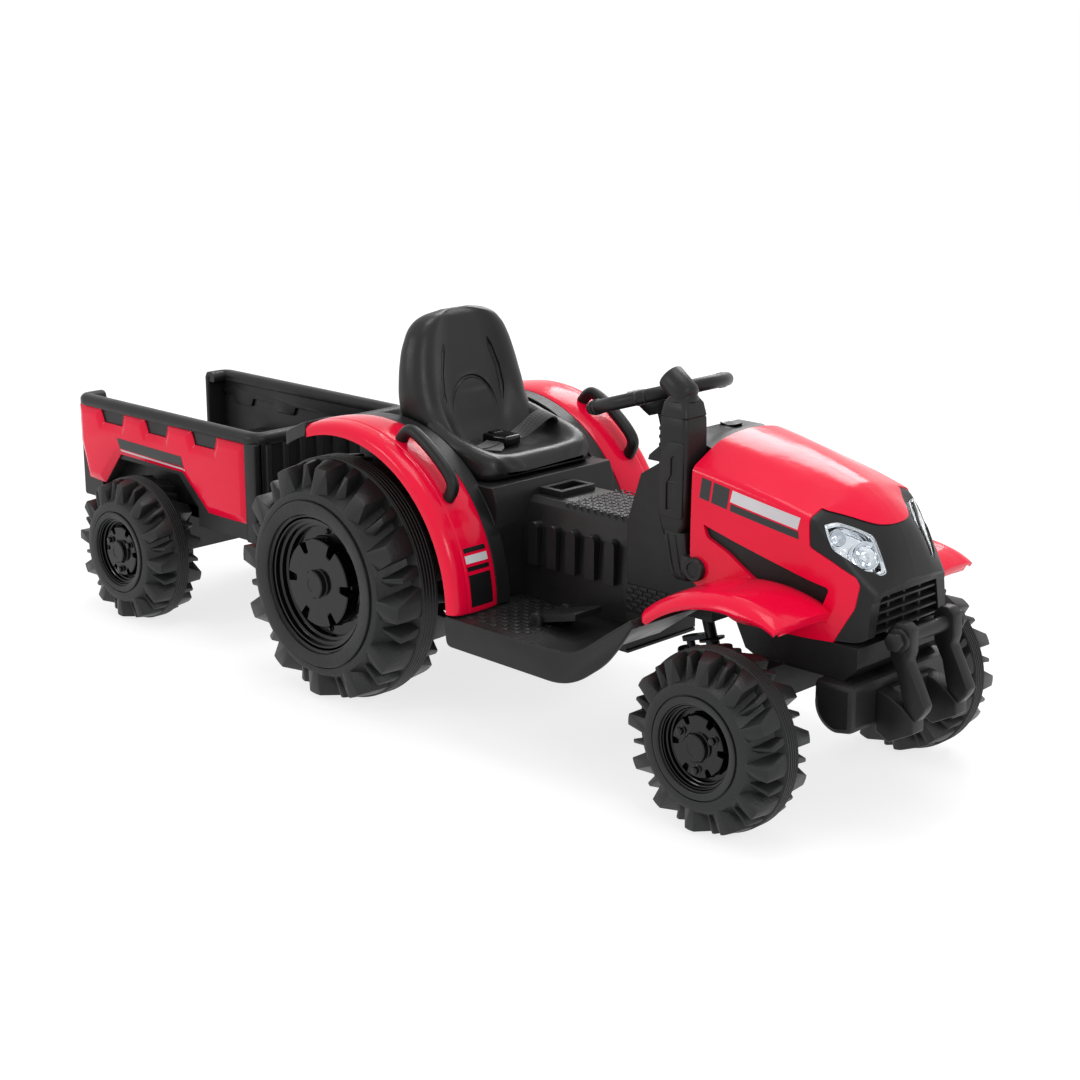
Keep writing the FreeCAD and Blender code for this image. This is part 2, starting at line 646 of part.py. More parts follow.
def fender_section(side, proud=ZERO):
    """Section of a rear fender as radius and distance along Y."""
    inner = d.arch_inner_y
    outer = inner + d.fender_width
    crown = d.arch_radius + d.fender_crown + proud
    crease = d.arch_radius + d.fender_crown * CREASE_SHARE + proud
    crown_y = inner + d.fender_width * CROWN_SHARE
    crease_y = outer - d.fender_flare
    lip = crown - d.fender_lip
    skin = d.fender_skin
    points = [(d.arch_radius + proud, inner), (crown, crown_y), (crease, crease_y + proud), (lip, outer + proud),
              (lip, outer - skin), (crease - skin, crease_y - skin), (crown - skin, crown_y),
              (d.arch_radius - skin, inner)]
    return [(radius, y * side) for radius, y in points]


def rear_fenders():
    """Red fenders swept round the wheel, black caps at their tails and a grab handle on each."""
    caps = []
    handles = []
    for name, side in SIDES:
        body = new_body(f"rear_fender_{name}", rear_x + d.arch_x, ZERO, d.arch_z)
        revolve(body, "XY_Plane", fender_section(side), angle=d.fender_sweep, reverse=True)
        cap = new_body(f"tail_cap_{name}", rear_x + d.arch_x, ZERO, d.arch_z, (0, 1, 0), -d.fender_sweep, False)
        revolve(cap, "XY_Plane", fender_section(side, d.tail_proud), angle=d.tail_sweep, reverse=True)
        caps.append(cap)
        upright = 90 - d.handle_angle
        handle = new_body(f"grab_handle_{name}", rear_x + d.arch_x, d.handle_y * side, d.arch_z, (0, 1, 0),
                          upright, False)
        foot = d.arch_radius + d.fender_crown + d.seat_gap
        lean = math.radians(d.handle_half_angle.value)
        top = foot + d.handle_rise - d.handle_radius
        arch = handle.newObject("PartDesign::Revolution", f"grab_handle_{name}_arch")
        arch.Profile = draw_circle(new_sketch(handle, "YZ_Plane"), d.handle_radius, (ZERO, top))
        arch.ReferenceAxis = (origin_feature(handle, "Y_Axis"), [""])
        arch.Midplane = True
        bind(arch, "Angle", d.handle_half_angle * 2)
        for end in (LEFT, RIGHT):
            spot = (top * (math.sin(lean) * end), ZERO)
            extrude(handle, "XY_Plane", spot, foot * math.cos(lean) - d.handle_radius, top * math.cos(lean),
                    radius=d.handle_radius)
        revolve(handle, "XY_Plane", rectangle(ZERO, foot, -d.handle_radius * 2, d.handle_radius * 2), cut=True)
        handles.append(handle)
    group("fender_tail_caps", caps)
    group("grab_handles", handles)


# Seat: side outline, hollow between the bolsters, and what the rounded backrest leaves off
SEAT_SHARES = ((0.07, 0), (0.93, 0), (1.0, 0.07), (0.98, 0.165), (0.77, 0.22), (0.45, 0.295), (0.32, 0.38),
               (0.26, 0.57), (0.19, 0.84), (0.13, 0.965), (0.07, 1.0), (0.01, 0.96), (0, 0.73), (0.02, 0.3))
PAN_SHARES = ((1.05, 0.13), (0.42, 0.13), (0.30, 0.20), (0.235, 0.45), (0.175, 0.75), (0.135, 0.93), (0.6, 0.93),
              (1.05, 0.5))
PAN_SHARE = 0.13
BACKREST_SHARES = ((1.05, 0.32), (1.0, 0.32), (0.93, 0.37), (0.87, 0.62), (0.76, 0.84), (0.56, 0.96), (0.32, 1.0),
                   (0.32, 1.05), (1.05, 1.05))


def seat():
    """Moulded bucket seat with a lap belt lying across the pan."""
    body = new_body("seat", rear_x)
    bottom = d.base_bottom + d.base_height
    low = (d.seat_rear, bottom)
    size = (d.seat_length, d.seat_height)
    width = d.base_half - d.wall - d.seat_gap
    extrude(body, "XZ_Plane", in_box(low, size, SEAT_SHARES), -width, width)
    extrude(body, "XZ_Plane", in_box(low, size, PAN_SHARES), -d.pan_half, d.pan_half, cut=True)
    front = d.seat_rear + d.seat_length + d.overrun
    for half in (width, -width):
        corner = in_box((ZERO, bottom), (half, d.seat_height), BACKREST_SHARES)
        extrude(body, "YZ_Plane", corner, d.seat_rear - d.overrun, front, cut=True)
    pan = bottom + d.seat_height * PAN_SHARE + d.seat_gap
    straps = []
    near = d.buckle_width / 2 + d.seat_gap
    far = d.pan_half - d.seat_gap
    start = d.belt_x - d.belt_width / 2
    for name, side in SIDES:
        strap = new_body(f"belt_strap_{name}", rear_x, node=False)
        edges = span(side, near, far)
        extrude(strap, "XY_Plane", rectangle(start, start + d.belt_width, *edges), pan, pan + d.belt_skin)
        straps.append(strap)
    group("belt_straps", straps)
    buckle = new_body("belt_buckle", rear_x)
    half = d.buckle_width / 2
    start = d.belt_x - d.buckle_length / 2
    extrude(buckle, "XY_Plane", rectangle(start, start + d.buckle_length, -half, half), pan, pan + d.buckle_height)


# Footboards: side outline of the skirt, and of the floor and toe-board
SKIRT_SHARES = ((0.01, 0.04), (0.60, 0), (0.74, 0.09), (0.86, 0.39), (0.93, 0.65), (1.0, 0.95), (0.98, 1.0),
                (0.87, 0.775), (0.74, 0.49), (0.66, 0.40), (0.455, 0.38), (0, 0.41))
FLOOR_SHARES = ((0, 0.33), (0.455, 0.30), (0.67, 0.32), (0.755, 0.41), (0.88, 0.68), (0.995, 0.91), (0.98, 1.0),
                (0.87, 0.775), (0.74, 0.49), (0.66, 0.40), (0.455, 0.38), (0, 0.41))
PEDAL_SHARES = ((0, 0), (0.12, 0), (1.0, 0.62), (1.0, 0.95), (0.96, 1.0), (0.10, 0.36), (0, 0.34))


def footboards():
    """A footboard each side with its curved skirt and toe-board; the right one carries the pedal."""
    low = (floor_rear, d.floor_bottom)
    size = (floor_length, d.floor_height)
    for name, side in SIDES:
        body = new_body(f"footboard_{name}", rear_x)
        floor = in_box(low, size, FLOOR_SHARES)
        extrude(body, "XZ_Plane", floor, *span(side, d.cowl_half + d.seat_gap, d.floor_half))
        skirt = in_box(low, size, SKIRT_SHARES)
        extrude(body, "XZ_Plane", skirt, *span(side, d.floor_half - d.skirt, d.floor_half))
        if side == RIGHT:
            pedal_ears(body)
    pedal = new_body("accelerator_pedal", rear_x)
    half = d.pedal_width / 2
    plate = in_box((pedal_x, d.pedal_z), (d.pedal_length, d.pedal_height), PEDAL_SHARES)
    extrude(pedal, "XZ_Plane", plate, -d.pedal_y - half, half - d.pedal_y)
    pin = (pedal_x + d.pedal_pin_radius, d.pedal_z + d.pedal_pin_radius)
    reach = half + d.seat_gap + d.pedal_skin
    extrude(pedal, "XZ_Plane", pin, -d.pedal_y - reach, reach - d.pedal_y, radius=d.pedal_pin_radius)


def pedal_ears(body):
    """Two ears on the floor that hold the pedal's pin."""
    pin = (pedal_x + d.pedal_pin_radius, d.pedal_z + d.pedal_pin_radius)
    rim = d.pedal_pin_radius + d.pedal_skin
    ear = rectangle(pin[0] - rim, pin[0] + rim, d.pedal_z - rim, pin[1] + rim)
    near = d.pedal_width / 2 + d.seat_gap
    bore = d.pedal_pin_radius + d.running_gap
    for side in (LEFT, RIGHT):
        start, end = span(side, near, near + d.pedal_skin)
        extrude(body, "XZ_Plane", ear, start - d.pedal_y, end - d.pedal_y)
        extrude(body, "XZ_Plane", pin, start - d.pedal_y, end - d.pedal_y, cut=True, radius=bore)


# Tunnel: half section as shares of its half width and height
TUNNEL_SHARES = ((1, 0), (1, 0.22), (0.89, 0.80), (0.76, 0.96), (0.64, 1.0))
COWL_SHARES = ((0, 0.07), (0.03, 0), (1, 0), (1, 1), (0.375, 1), (0.16, 0.89), (0, 0.5))
DASH_SHARES = ((0, 0), (1, 0), (1, 0.78), (0.72, 1), (0.36, 1), (0.02, 0.18))
ROCKER_LIFT_SHARE = 0.4
ROCKER_SHARES = ((0.05, 0.45), (0.5, 0), (0.95, 0.45), (1.0, 1.0), (0.5, 0.8), (0, 1.0))


def mirrored_outline(half, low, height, shares):
    """A closed outline that is the same both sides of the middle plane."""
    right = [(half * x, low + height * y) for x, y in shares]
    return right + [(-x, y) for x, y in reversed(right)]


def tunnel():
    """Hollow centre tunnel with ribs on its sides and a small tray on top."""
    body = new_body("center_tunnel", rear_x)
    start = base_front
    end = start + tunnel_length
    height = d.tunnel_top - d.base_bottom
    outline = mirrored_outline(d.tunnel_half, d.base_bottom, height, TUNNEL_SHARES)
    extrude(body, "YZ_Plane", outline, start, end)
    inner = mirrored_outline(d.tunnel_half - d.wall, d.base_bottom - d.overrun, height - d.wall + d.overrun,
                             TUNNEL_SHARES)
    extrude(body, "YZ_Plane", inner, start - d.overrun, end - d.wall, cut=True)
    ribs = []
    x = start + d.rib_first
    round_top = d.rib_low + d.rib_height
    rib = [(x, d.rib_low), (x + d.rib_width, d.rib_low), (x + d.rib_width, round_top - d.rib_width / 2),
           Via(x + d.rib_width / 2, round_top), (x, round_top - d.rib_width / 2)]
    for side in (LEFT, RIGHT):
        reach = span(side, d.tunnel_half - d.rib_root, d.tunnel_half + d.rib_proud)
        ribs.append(extrude(body, "XZ_Plane", rib, *reach))
    in_row(body, ribs, TUNNEL_RIBS, (tunnel_length - d.rib_first * 2 - d.rib_width) / (TUNNEL_RIBS - 1))
    x = start + d.seat_gap
    half = d.tray_width / 2
    extrude(body, "XY_Plane", rectangle(x, x + d.tray_length, -half, half), d.tunnel_top - d.overrun,
            d.tunnel_top + d.tray_height)
    inside = rectangle(x + d.tray_rim, x + d.tray_length - d.tray_rim, d.tray_rim - half, half - d.tray_rim)
    extrude(body, "XY_Plane", inside, d.tunnel_top, d.tunnel_top + d.tray_height + d.overrun, cut=True)


def column_bore(label, radius):
    """A long cylinder on the steering axis, to be cut from what the column passes through."""
    bore = doc.addObject("Part::Cylinder", label)
    place(bore, rear_x + column_x, ZERO, d.column_z, (0, 1, 0), -d.column_tilt)
    bind(bore, "Radius", radius)
    bind(bore, "Height", d.column_length)
    return bore


def cowl():
    """Hollow cowl in front of the driver with the dash on top and its two controls."""
    body = new_body("cowl_shell", rear_x, node=False)
    low = (cowl_rear, d.cowl_bottom)
    size = (d.cowl_length, d.cowl_height)
    extrude(body, "XZ_Plane", in_box(low, size, COWL_SHARES), -d.cowl_half, d.cowl_half)
    inner_low = (cowl_rear + d.wall, d.cowl_bottom - d.overrun)
    inner_size = (d.cowl_length - d.wall * 2, d.cowl_height - d.wall + d.overrun)
    half = d.cowl_half - d.wall
    extrude(body, "XZ_Plane", in_box(inner_low, inner_size, COWL_SHARES), -half, half, cut=True)
    joined("cowl", "Cut", body, column_bore("cowl_column_bore", d.column_radius + d.wall / 2))
    top = d.cowl_bottom + d.cowl_height
    dash = new_body("dash_panel", rear_x)
    dash_rear = cowl_rear + d.dash_set
    low = (dash_rear, top)
    extrude(dash, "XZ_Plane", in_box(low, (d.dash_length, d.dash_height), DASH_SHARES), -d.dash_half, d.dash_half)
    face = top + d.dash_height
    spot = dash_rear + d.dash_length / 2
    well = d.button_height + d.button_travel
    button = (spot, -d.dash_control_y)
    extrude(dash, "XY_Plane", button, face - well, face + d.overrun, cut=True, radius=d.power_radius + d.seat_gap)
    half_length = d.rocker_length / 2
    half_width = d.rocker_width / 2
    room = d.seat_gap * 4
    pocket = rectangle(spot - half_length - room, spot + half_length + room,
                       d.dash_control_y - half_width - d.seat_gap, d.dash_control_y + half_width + d.seat_gap)
    depth = d.rocker_height + room
    extrude(dash, "XY_Plane", pocket, face - depth, face + d.overrun, cut=True)
    pivot = (spot, face - d.rocker_height / 2)
    reach = half_width + d.wall
    extrude(dash, "XZ_Plane", pivot, d.dash_control_y - reach, d.dash_control_y + reach, cut=True,
            radius=d.rocker_pin_radius + d.running_gap)
    power = new_body("power_button", rear_x)
    extrude(power, "XY_Plane", button, face - d.button_height + d.seat_gap, face + d.button_travel,
            radius=d.power_radius)
    rocker = new_body("direction_switch", rear_x)
    lift = d.rocker_height * ROCKER_LIFT_SHARE
    shape = in_box((spot - half_length, face - d.rocker_height), (d.rocker_length, d.rocker_height + lift),
                   ROCKER_SHARES)
    extrude(rocker, "XZ_Plane", shape, d.dash_control_y - half_width, d.dash_control_y + half_width)
    reach = reach - d.seat_gap
    extrude(rocker, "XZ_Plane", pivot, d.dash_control_y - reach, d.dash_control_y + reach,
            radius=d.rocker_pin_radius)


# Steering wheel spokes, in degrees from straight ahead
SPOKE_ANGLES = (90, -90, 180)


def steering():
    """Column with its crank, the wheel with two buttons, both knuckles and the tie rod."""
    seat_at = dict(x=rear_x + column_x, z=d.column_z, axis=(0, 1, 0), angle=-d.column_tilt)
    column = new_body("steering_column", **seat_at)
    cap = d.column_cap_height
    low = d.crank_height
    section = [(0, -cap - d.washer_height), (d.column_cap_radius, -cap - d.washer_height),
               (d.column_cap_radius, -d.washer_height), (d.washer_radius, -d.washer_height), (d.washer_radius, 0),
               (d.column_radius, 0), (d.column_radius, d.column_length), (0, d.column_length)]
    revolve(column, "XZ_Plane", section)
    half = d.crank_width / 2
    arm = [(0, -half), (0, half), (-d.crank_length, half), Via(-d.crank_length - half, ZERO), (-d.crank_length, -half)]
    extrude(column, "XY_Plane", arm, ZERO, low)
    extrude(column, "XY_Plane", (-d.crank_length, ZERO), -d.crank_pin_length, ZERO, radius=d.crank_pin_radius)
    wheel = new_body("steering_wheel", **seat_at)
    plane = d.column_length + d.wheel_hub_height
    rim = d.wheel_rim_radius
    tube = d.wheel_tube_radius
    revolve(wheel, "XZ_Plane", [(rim - tube, plane), Via(rim, plane + tube), (rim + tube, plane),
                                Via(rim, plane - tube)])
    spoke_top = plane + d.spoke_height / 2
    spoke_low = plane - d.spoke_height / 2
    half = d.spoke_width / 2
    for degrees in SPOKE_ANGLES:
        c = math.cos(math.radians(degrees))
        s = math.sin(math.radians(degrees))
        corners = rectangle(ZERO, rim, -half, half)
        turned = [(along * c - across * s, along * s + across * c) for along, across in corners]
        extrude(wheel, "XY_Plane", turned, spoke_low, spoke_top)
    extrude(wheel, "XY_Plane", (0, 0), d.column_length, spoke_top + d.overrun, radius=d.wheel_hub_radius)
    well = spoke_top - d.button_height
    for name, side in (("horn_button", LEFT), ("music_button", RIGHT)):
        spot = (ZERO, d.button_y * side)
        extrude(wheel, "XY_Plane", spot, well, spoke_top + d.overrun, cut=True, radius=d.button_radius + d.seat_gap)
        button = new_body(name, **seat_at)
        extrude(button, "XY_Plane", spot, well + d.button_travel + d.seat_gap, spoke_top + d.button_travel,
                radius=d.button_radius)
    for name, side in SIDES:
        knuckle(name, side)
    tie_rod()


def knuckle(name, side):
    """Kingpin, spindle and steering arm of one front wheel."""
    body = new_body(f"steering_knuckle_{name}", front_x)
    low = d.front_tyre_radius
    collar_top = d.beam_bottom - d.seat_gap
    beam_top = d.beam_bottom + d.beam_height
    arm_top = collar_top
    y = d.kingpin_y * side
    extrude(body, "XY_Plane", (ZERO, y), low - d.boss_radius, collar_top, radius=d.boss_radius)
    extrude(body, "XY_Plane", (ZERO, y), collar_top, beam_top + d.seat_gap + d.axle_head_depth,
            radius=d.kingpin_radius)
    extrude(body, "XY_Plane", (ZERO, y), beam_top + d.seat_gap, beam_top + d.seat_gap + d.axle_head_depth,
            radius=d.axle_head_radius)
    web = d.front_wheel_y + d.front_tyre_width / 2 - d.front_dish_depth + d.seat_gap
    extrude(body, "XZ_Plane", (ZERO, low), *span(side, d.kingpin_y, web), radius=d.axle_radius)
    extrude(body, "XZ_Plane", (ZERO, low), *span(side, web, web + d.axle_head_depth), radius=d.axle_head_radius)
    half = d.arm_width / 2
    arm = [(ZERO, y - half), (ZERO, y + half), (-d.arm_length, y + half), Via(-d.arm_length - half, y),
           (-d.arm_length, y - half)]
    arm_low = arm_top - d.arm_height
    extrude(body, "XY_Plane", arm, arm_low, arm_top)
    extrude(body, "XY_Plane", (-d.arm_length, y), arm_low - d.tie_height - d.seat_gap * 2, arm_low,
            radius=d.link_pin_radius)


def tie_rod():
    """Flat link that joins both steering arms and takes the column's crank pin in a loose eye."""
    body = new_body("tie_rod", front_x)
    top = d.beam_bottom - d.seat_gap * 2 - d.arm_height
    low = top - d.tie_height
    half = d.tie_width / 2
    y = d.kingpin_y
    bar = rectangle(-d.arm_length - half, half - d.arm_length, -y, y)
    extrude(body, "XY_Plane", bar, low, top)
    for side in (LEFT, RIGHT):
        extrude(body, "XY_Plane", (-d.arm_length, y * side), low, top, radius=half)
        extrude(body, "XY_Plane", (-d.arm_length, y * side), low - d.overrun, top + d.overrun, cut=True,
                radius=d.link_pin_radius + d.running_gap)
    tilt = math.radians(d.column_tilt.value)
    drop = d.crank_length * math.sin(tilt)
    eye_x = column_x - d.wheelbase - d.crank_length * math.cos(tilt) + (d.column_z - drop - top) * math.tan(tilt)
    eye = d.crank_pin_radius + d.crank_slack
    extrude(body, "XY_Plane", rectangle(eye_x, -d.arm_length, -half, half), low, top)
    extrude(body, "XY_Plane", (eye_x, ZERO), low, top, radius=eye + half)
    extrude(body, "XY_Plane", (eye_x, ZERO), low - d.overrun, top + d.overrun, cut=True, radius=eye)


# Hood sections from back to front: stations along its length, then shares of half width and height
HOOD_STATION_SHARES = (0, 0.30, 0.76, 1.0)
HOOD_SHARES = (((1.0, 0.20), (0.99, 0.865), (0.56, 1.0)), ((1.0, 0), (0.98, 0.815), (0.53, 0.935)),
               ((0.90, 0), (0.92, 0.71), (0.41, 0.79)), ((0.76, 0), (0.745, 0.36), (0.31, 0.61)))
NOSE_SHARES = ((0.72, 0), (0.60, 0.30), (0.30, 0.345))
# Side view of the nose that is parted from the hood, as shares of the hood's length and height
NOSE_CUT_SHARES = ((0.744, 0.73), (0.95, 0.64), (1.25, 0.55), (1.25, -0.05), (0.86, -0.05), (0.99, 0.36),
                   (0.754, 0.56))
CHIN_SHARES = ((1.12, 0.25), (1.0, -0.02), (1.2, -0.02), (1.2, 0.25))
VENT_SHARES = ((0.10, 0.54), (0.48, 0.427), (0.86, 0.315), (0.79, 0.11), (0.42, 0.29), (0.25, 0.41), (0.10, 0.46))
GRILLE_TOP_SHARE = 0.24


def hood_loft(label, grow=ZERO):
    """The whole bonnet from the cowl to the nose tip, made larger or smaller all round by one amount."""
    body = new_body(label, rear_x, node=False)
    stations = [hood_rear + d.hood_length * share for share in HOOD_STATION_SHARES]
    stations[0] = stations[0] - grow
    stations.append(hood_rear + d.hood_length + d.nose_reach + grow)
    sketches = []
    for station, shares in zip(stations, HOOD_SHARES + (NOSE_SHARES,)):
        points = []
        for index, (across, up) in enumerate(shares):
            rise = -grow if index == 0 else grow
            points.append((d.hood_half * across + grow, d.hood_bottom + d.hood_height * up + rise))
        outline = points + [(-y, z) for y, z in reversed(points)]
        sketches.append(draw(new_sketch(body, "YZ_Plane", station), outline))
    loft = body.newObject("PartDesign::AdditiveLoft", f"{label}_loft")
    loft.Profile = sketches[0]
    loft.Sections = sketches[1:]
    loft.Ruled = True
    low = (hood_rear, d.hood_bottom)
    size = (d.hood_length, d.hood_height)
    extrude(body, "XZ_Plane", in_box(low, size, CHIN_SHARES), -d.hood_half, d.hood_half, cut=True)
    return body


def side_prism(label, shares, near, far, sides=(LEFT, RIGHT)):
    """A slab in the side view of the hood, used to part pieces from it."""
    body = new_body(label, rear_x, node=False)
    points = in_box((hood_rear, d.hood_bottom), (d.hood_length, d.hood_height), shares)
    for side in sides:
        extrude(body, "XZ_Plane", points, *span(side, near, far))
    return body


# Headlight: outline in its own plane, as shares of its length and height, and how it faces
LAMP_SHARES = ((0.06, 1.0), (0.35, 0.97), (1.0, 0.59), (0.96, 0), (0.57, 0.10), (0, 0.61))
LAMP_CENTRE_SHARES = (0.93, 0.62, 0.515)
LAMP_FACE_SHARES = (0.753, 0.48, 0.449)


def lamp_prism(label, side, start, end, grow):
    """A slab with the headlight's outline, square to the lamp's face."""
    centre = (rear_x + hood_rear + d.hood_length * LAMP_CENTRE_SHARES[0],
              d.hood_half * (LAMP_CENTRE_SHARES[1] * side), d.hood_bottom + d.hood_height * LAMP_CENTRE_SHARES[2])
    body = new_body(label, *centre, node=False)
    face = FreeCAD.Vector(LAMP_FACE_SHARES[0], LAMP_FACE_SHARES[1] * side, LAMP_FACE_SHARES[2])
    inward = FreeCAD.Vector(0, -side, 0)
    turn = FreeCAD.Rotation(inward, FreeCAD.Vector(0, 0, 1), face, "ZXY")
    spot = body.Placement.Base
    body.Placement = FreeCAD.Placement(spot, turn)
    low = (-d.lamp_length / 2 - grow, -d.lamp_height / 2 - grow)
    size = (d.lamp_length + grow * 2, d.lamp_height + grow * 2)
    points = [(x, y * -side) for x, y in in_box(low, size, LAMP_SHARES)]
    extrude(body, "XY_Plane", points, start, end)
    return body


def hood_and_nose():
    """Red hood with black side vents, and the nose with its grille and headlights."""
    shell = hood_loft("bonnet")
    core = hood_loft("bonnet_core", -d.vent_skin)
    nose_cut = side_prism("nose_cut", NOSE_CUT_SHARES, ZERO, d.hood_half + d.overrun)
    vent_cut = side_prism("vent_cut", VENT_SHARES, d.hood_half / 2, d.hood_half + d.overrun)
    skin = joined("bonnet_skin", "Cut", shell, core, node=False)
    vents = joined("hood_vents_whole", "Common", vent_cut, skin, node=False)
    vents = joined("hood_vents", "Cut", vents, nose_cut)
    whole = joined("nose_whole", "Common", shell, nose_cut, node=False)
    wells = []
    lenses = []
    reflectors = []
    for name, side in SIDES:
        wells.append(lamp_prism(f"lamp_well_{name}", side, -d.lamp_depth, d.lamp_depth * 2, ZERO))
        reflectors.append(lamp_prism(f"reflector_{name}", side, -d.lamp_depth, -d.lens_skin * 2, -d.seat_gap))
        lenses.append(lamp_prism(f"lens_{name}", side, -d.lens_skin, d.lens_skin, -d.seat_gap))
    both = doc.addObject("Part::MultiFuse", "lamp_wells")
    both.Shapes = wells
    hollow = joined("nose_hollow", "Cut", whole, both, node=False)
    bare = joined("hood_bare", "Cut", shell, nose_cut, node=False)
    bare = joined("hood_holed", "Cut", bare, both, node=False)
    joined("hood", "Cut", bare, vents)
    front = hood_rear + d.hood_length + d.nose_reach
    mouth = new_body("grille_mouth", rear_x, node=False)
    grille_top = d.hood_bottom + d.hood_height * GRILLE_TOP_SHARE
    opening = [(-d.grille_half_bottom, d.hood_bottom + d.wall), (d.grille_half_bottom, d.hood_bottom + d.wall),
               (d.grille_half_top, grille_top), (-d.grille_half_top, grille_top)]
    back = hood_rear + d.hood_length - d.grille_depth
    extrude(mouth, "YZ_Plane", opening, back, front + d.overrun)
    joined("nose_frame", "Cut", hollow, mouth)
    group("headlight_reflectors", reflectors)
    group("headlight_lenses", lenses)
    grille(back, grille_top)


def grille(back, top):
    """Grille insert with horizontal bars on a back plate."""
    body = new_body("grille", rear_x)
    gap = d.seat_gap
    low = d.hood_bottom + d.wall + gap
    high = top - gap
    plate = [(gap - d.grille_half_bottom, low), (d.grille_half_bottom - gap, low),
             (d.grille_half_top - gap, high), (gap - d.grille_half_top, high)]
    extrude(body, "YZ_Plane", plate, back, back + d.wall)
    pitch = (high - low - d.grille_bar) / (GRILLE_BARS - 1)
    half = d.grille_half_top - gap * 2
    bar = extrude(body, "YZ_Plane", rectangle(-half, half, low, low + d.grille_bar), back, back + d.grille_depth)
    in_row(body, [bar], GRILLE_BARS, pitch, "Z_Axis")


# Front chassis tray, weight block and linkage arm in the side view
TRAY_SHARES = ((0, 1), (0.10, 0.35), (0.2, 0.2), (0.9, 0.2), (1.0, 0.55), (1.0, 1.0))
WEIGHT_SHARES = ((0, 1), (0, 0.62), (0.16, 0.18, True), (0.56, 0), (1, 0.07), (1, 1))
ARM_SHARES = ((0.17, 0.13), (0.30, 0), (0.72, 0), (1.0, 0.13), (0.97, 0.27), (0.72, 0.50), (0.69, 0.68),
              (0.74, 0.83), (0.50, 1.0, True), (0.28, 0.86), (0.30, 0.72), (0.38, 0.58), (0.30, 0.43), (0.17, 0.43))
BAR_SHARES = (0.50, 0.86)


def front_chassis():
    """Tray under the hood with the spine, the axle beam and the column's bearing block."""
    body = new_body("front_chassis_block", rear_x, node=False)
    top = d.hood_bottom
    low = (chassis_x, d.chassis_bottom)
    size = (d.chassis_length, top - d.chassis_bottom)
    extrude(body, "XZ_Plane", in_box(low, size, TRAY_SHARES), -d.chassis_half, d.chassis_half)
    spine_low = d.cowl_bottom - d.spine_height
    half = d.spine_half
    extrude(body, "XY_Plane", rectangle(spine_rear, chassis_x + d.spine_half, -half, half), spine_low,
            d.cowl_bottom)
    beam = rectangle(d.wheelbase - d.beam_half_width, d.wheelbase + d.beam_half_width, -d.kingpin_y, d.kingpin_y)
    beam_top = d.beam_bottom + d.beam_height
    extrude(body, "XY_Plane", beam, d.beam_bottom, beam_top)
    for side in (LEFT, RIGHT):
        spot = (d.wheelbase, d.kingpin_y * side)
        extrude(body, "XY_Plane", spot, d.beam_bottom, beam_top, radius=d.boss_radius)
        extrude(body, "XY_Plane", spot, d.beam_bottom - d.overrun, beam_top + d.overrun, cut=True,
                radius=d.kingpin_radius + d.running_gap)
    block = rectangle(spine_rear, spine_rear + d.bearing_length, -d.bearing_half, d.bearing_half)
    extrude(body, "XY_Plane", block, d.bearing_bottom, spine_low)
    joined("front_chassis", "Cut", body, column_bore("bearing_bore", d.column_radius + d.running_gap))


def front_linkage():
    """Weight block, the two linkage arms with their cross plate, and the round bar through them."""
    weight = new_body("front_weight", rear_x)
    tray_low = d.chassis_bottom + (d.hood_bottom - d.chassis_bottom) * TRAY_SHARES[2][1]
    size = (d.weight_length, tray_low - d.weight_bottom)
    points = in_box((weight_rear, d.weight_bottom), size, WEIGHT_SHARES)
    extrude(weight, "XZ_Plane", points, -d.weight_half, d.weight_half)
    body = new_body("front_linkage", rear_x)
    low = (d.wheelbase + d.front_overhang - d.link_length, d.link_bottom)
    size = (d.link_length, d.link_height)
    arm = in_box(low, size, ARM_SHARES)
    near = d.link_y - d.link_thickness / 2
    far = d.link_y + d.link_thickness / 2
    root = weight_rear + d.weight_length
    plate_low = d.link_bottom + d.link_height * ARM_SHARES[0][1]
    plate_top = d.link_bottom + d.link_height * ARM_SHARES[-1][1]
    extrude(body, "XY_Plane", rectangle(root, root + d.wall * 3, -far, far), plate_low, plate_top)
    for side in (LEFT, RIGHT):
        extrude(body, "XZ_Plane", arm, *span(side, near, far))
    centre = (low[0] + size[0] * BAR_SHARES[0], low[1] + size[1] * BAR_SHARES[1])
    extrude(body, "XZ_Plane", centre, -far - d.overrun, far + d.overrun, cut=True,
            radius=d.link_bar_radius + d.running_gap)
    bar = new_body("linkage_pin", rear_x)
    extrude(bar, "XZ_Plane", centre, -d.link_bar_half, d.link_bar_half, radius=d.link_bar_radius)
    for side in (LEFT, RIGHT):
        extrude(bar, "XZ_Plane", centre, *span(side, d.link_bar_half - d.knob_length, d.link_bar_half),
                radius=d.knob_radius)


def front_fenders():
    """Red guards over the front wheels, trimmed to the hood's side."""
    for name, side in SIDES:
        body = new_body(f"guard_{name}", front_x + d.guard_x, ZERO, d.guard_z, (0, 1, 0), -d.guard_start, False)
        crown = d.guard_radius
        skin = d.guard_skin
        outer = d.guard_outer_y
        fold = outer - d.guard_flare
        lip = crown - d.guard_lip
        points = [(crown - d.guard_crown, d.guard_inner_y), (crown, fold * CREASE_SHARE), (crown, fold), (lip, outer),
                  (lip, outer - skin), (crown - skin, fold - skin), (crown - skin, fold * CREASE_SHARE),
                  (crown - d.guard_crown - skin, d.guard_inner_y)]
        revolve(body, "XY_Plane", [(radius, y * side) for radius, y in points], angle=d.guard_sweep, reverse=True)
        room = hood_loft(f"bonnet_room_{name}", d.seat_gap)
        joined(f"front_fender_{name}", "Cut", body, room)


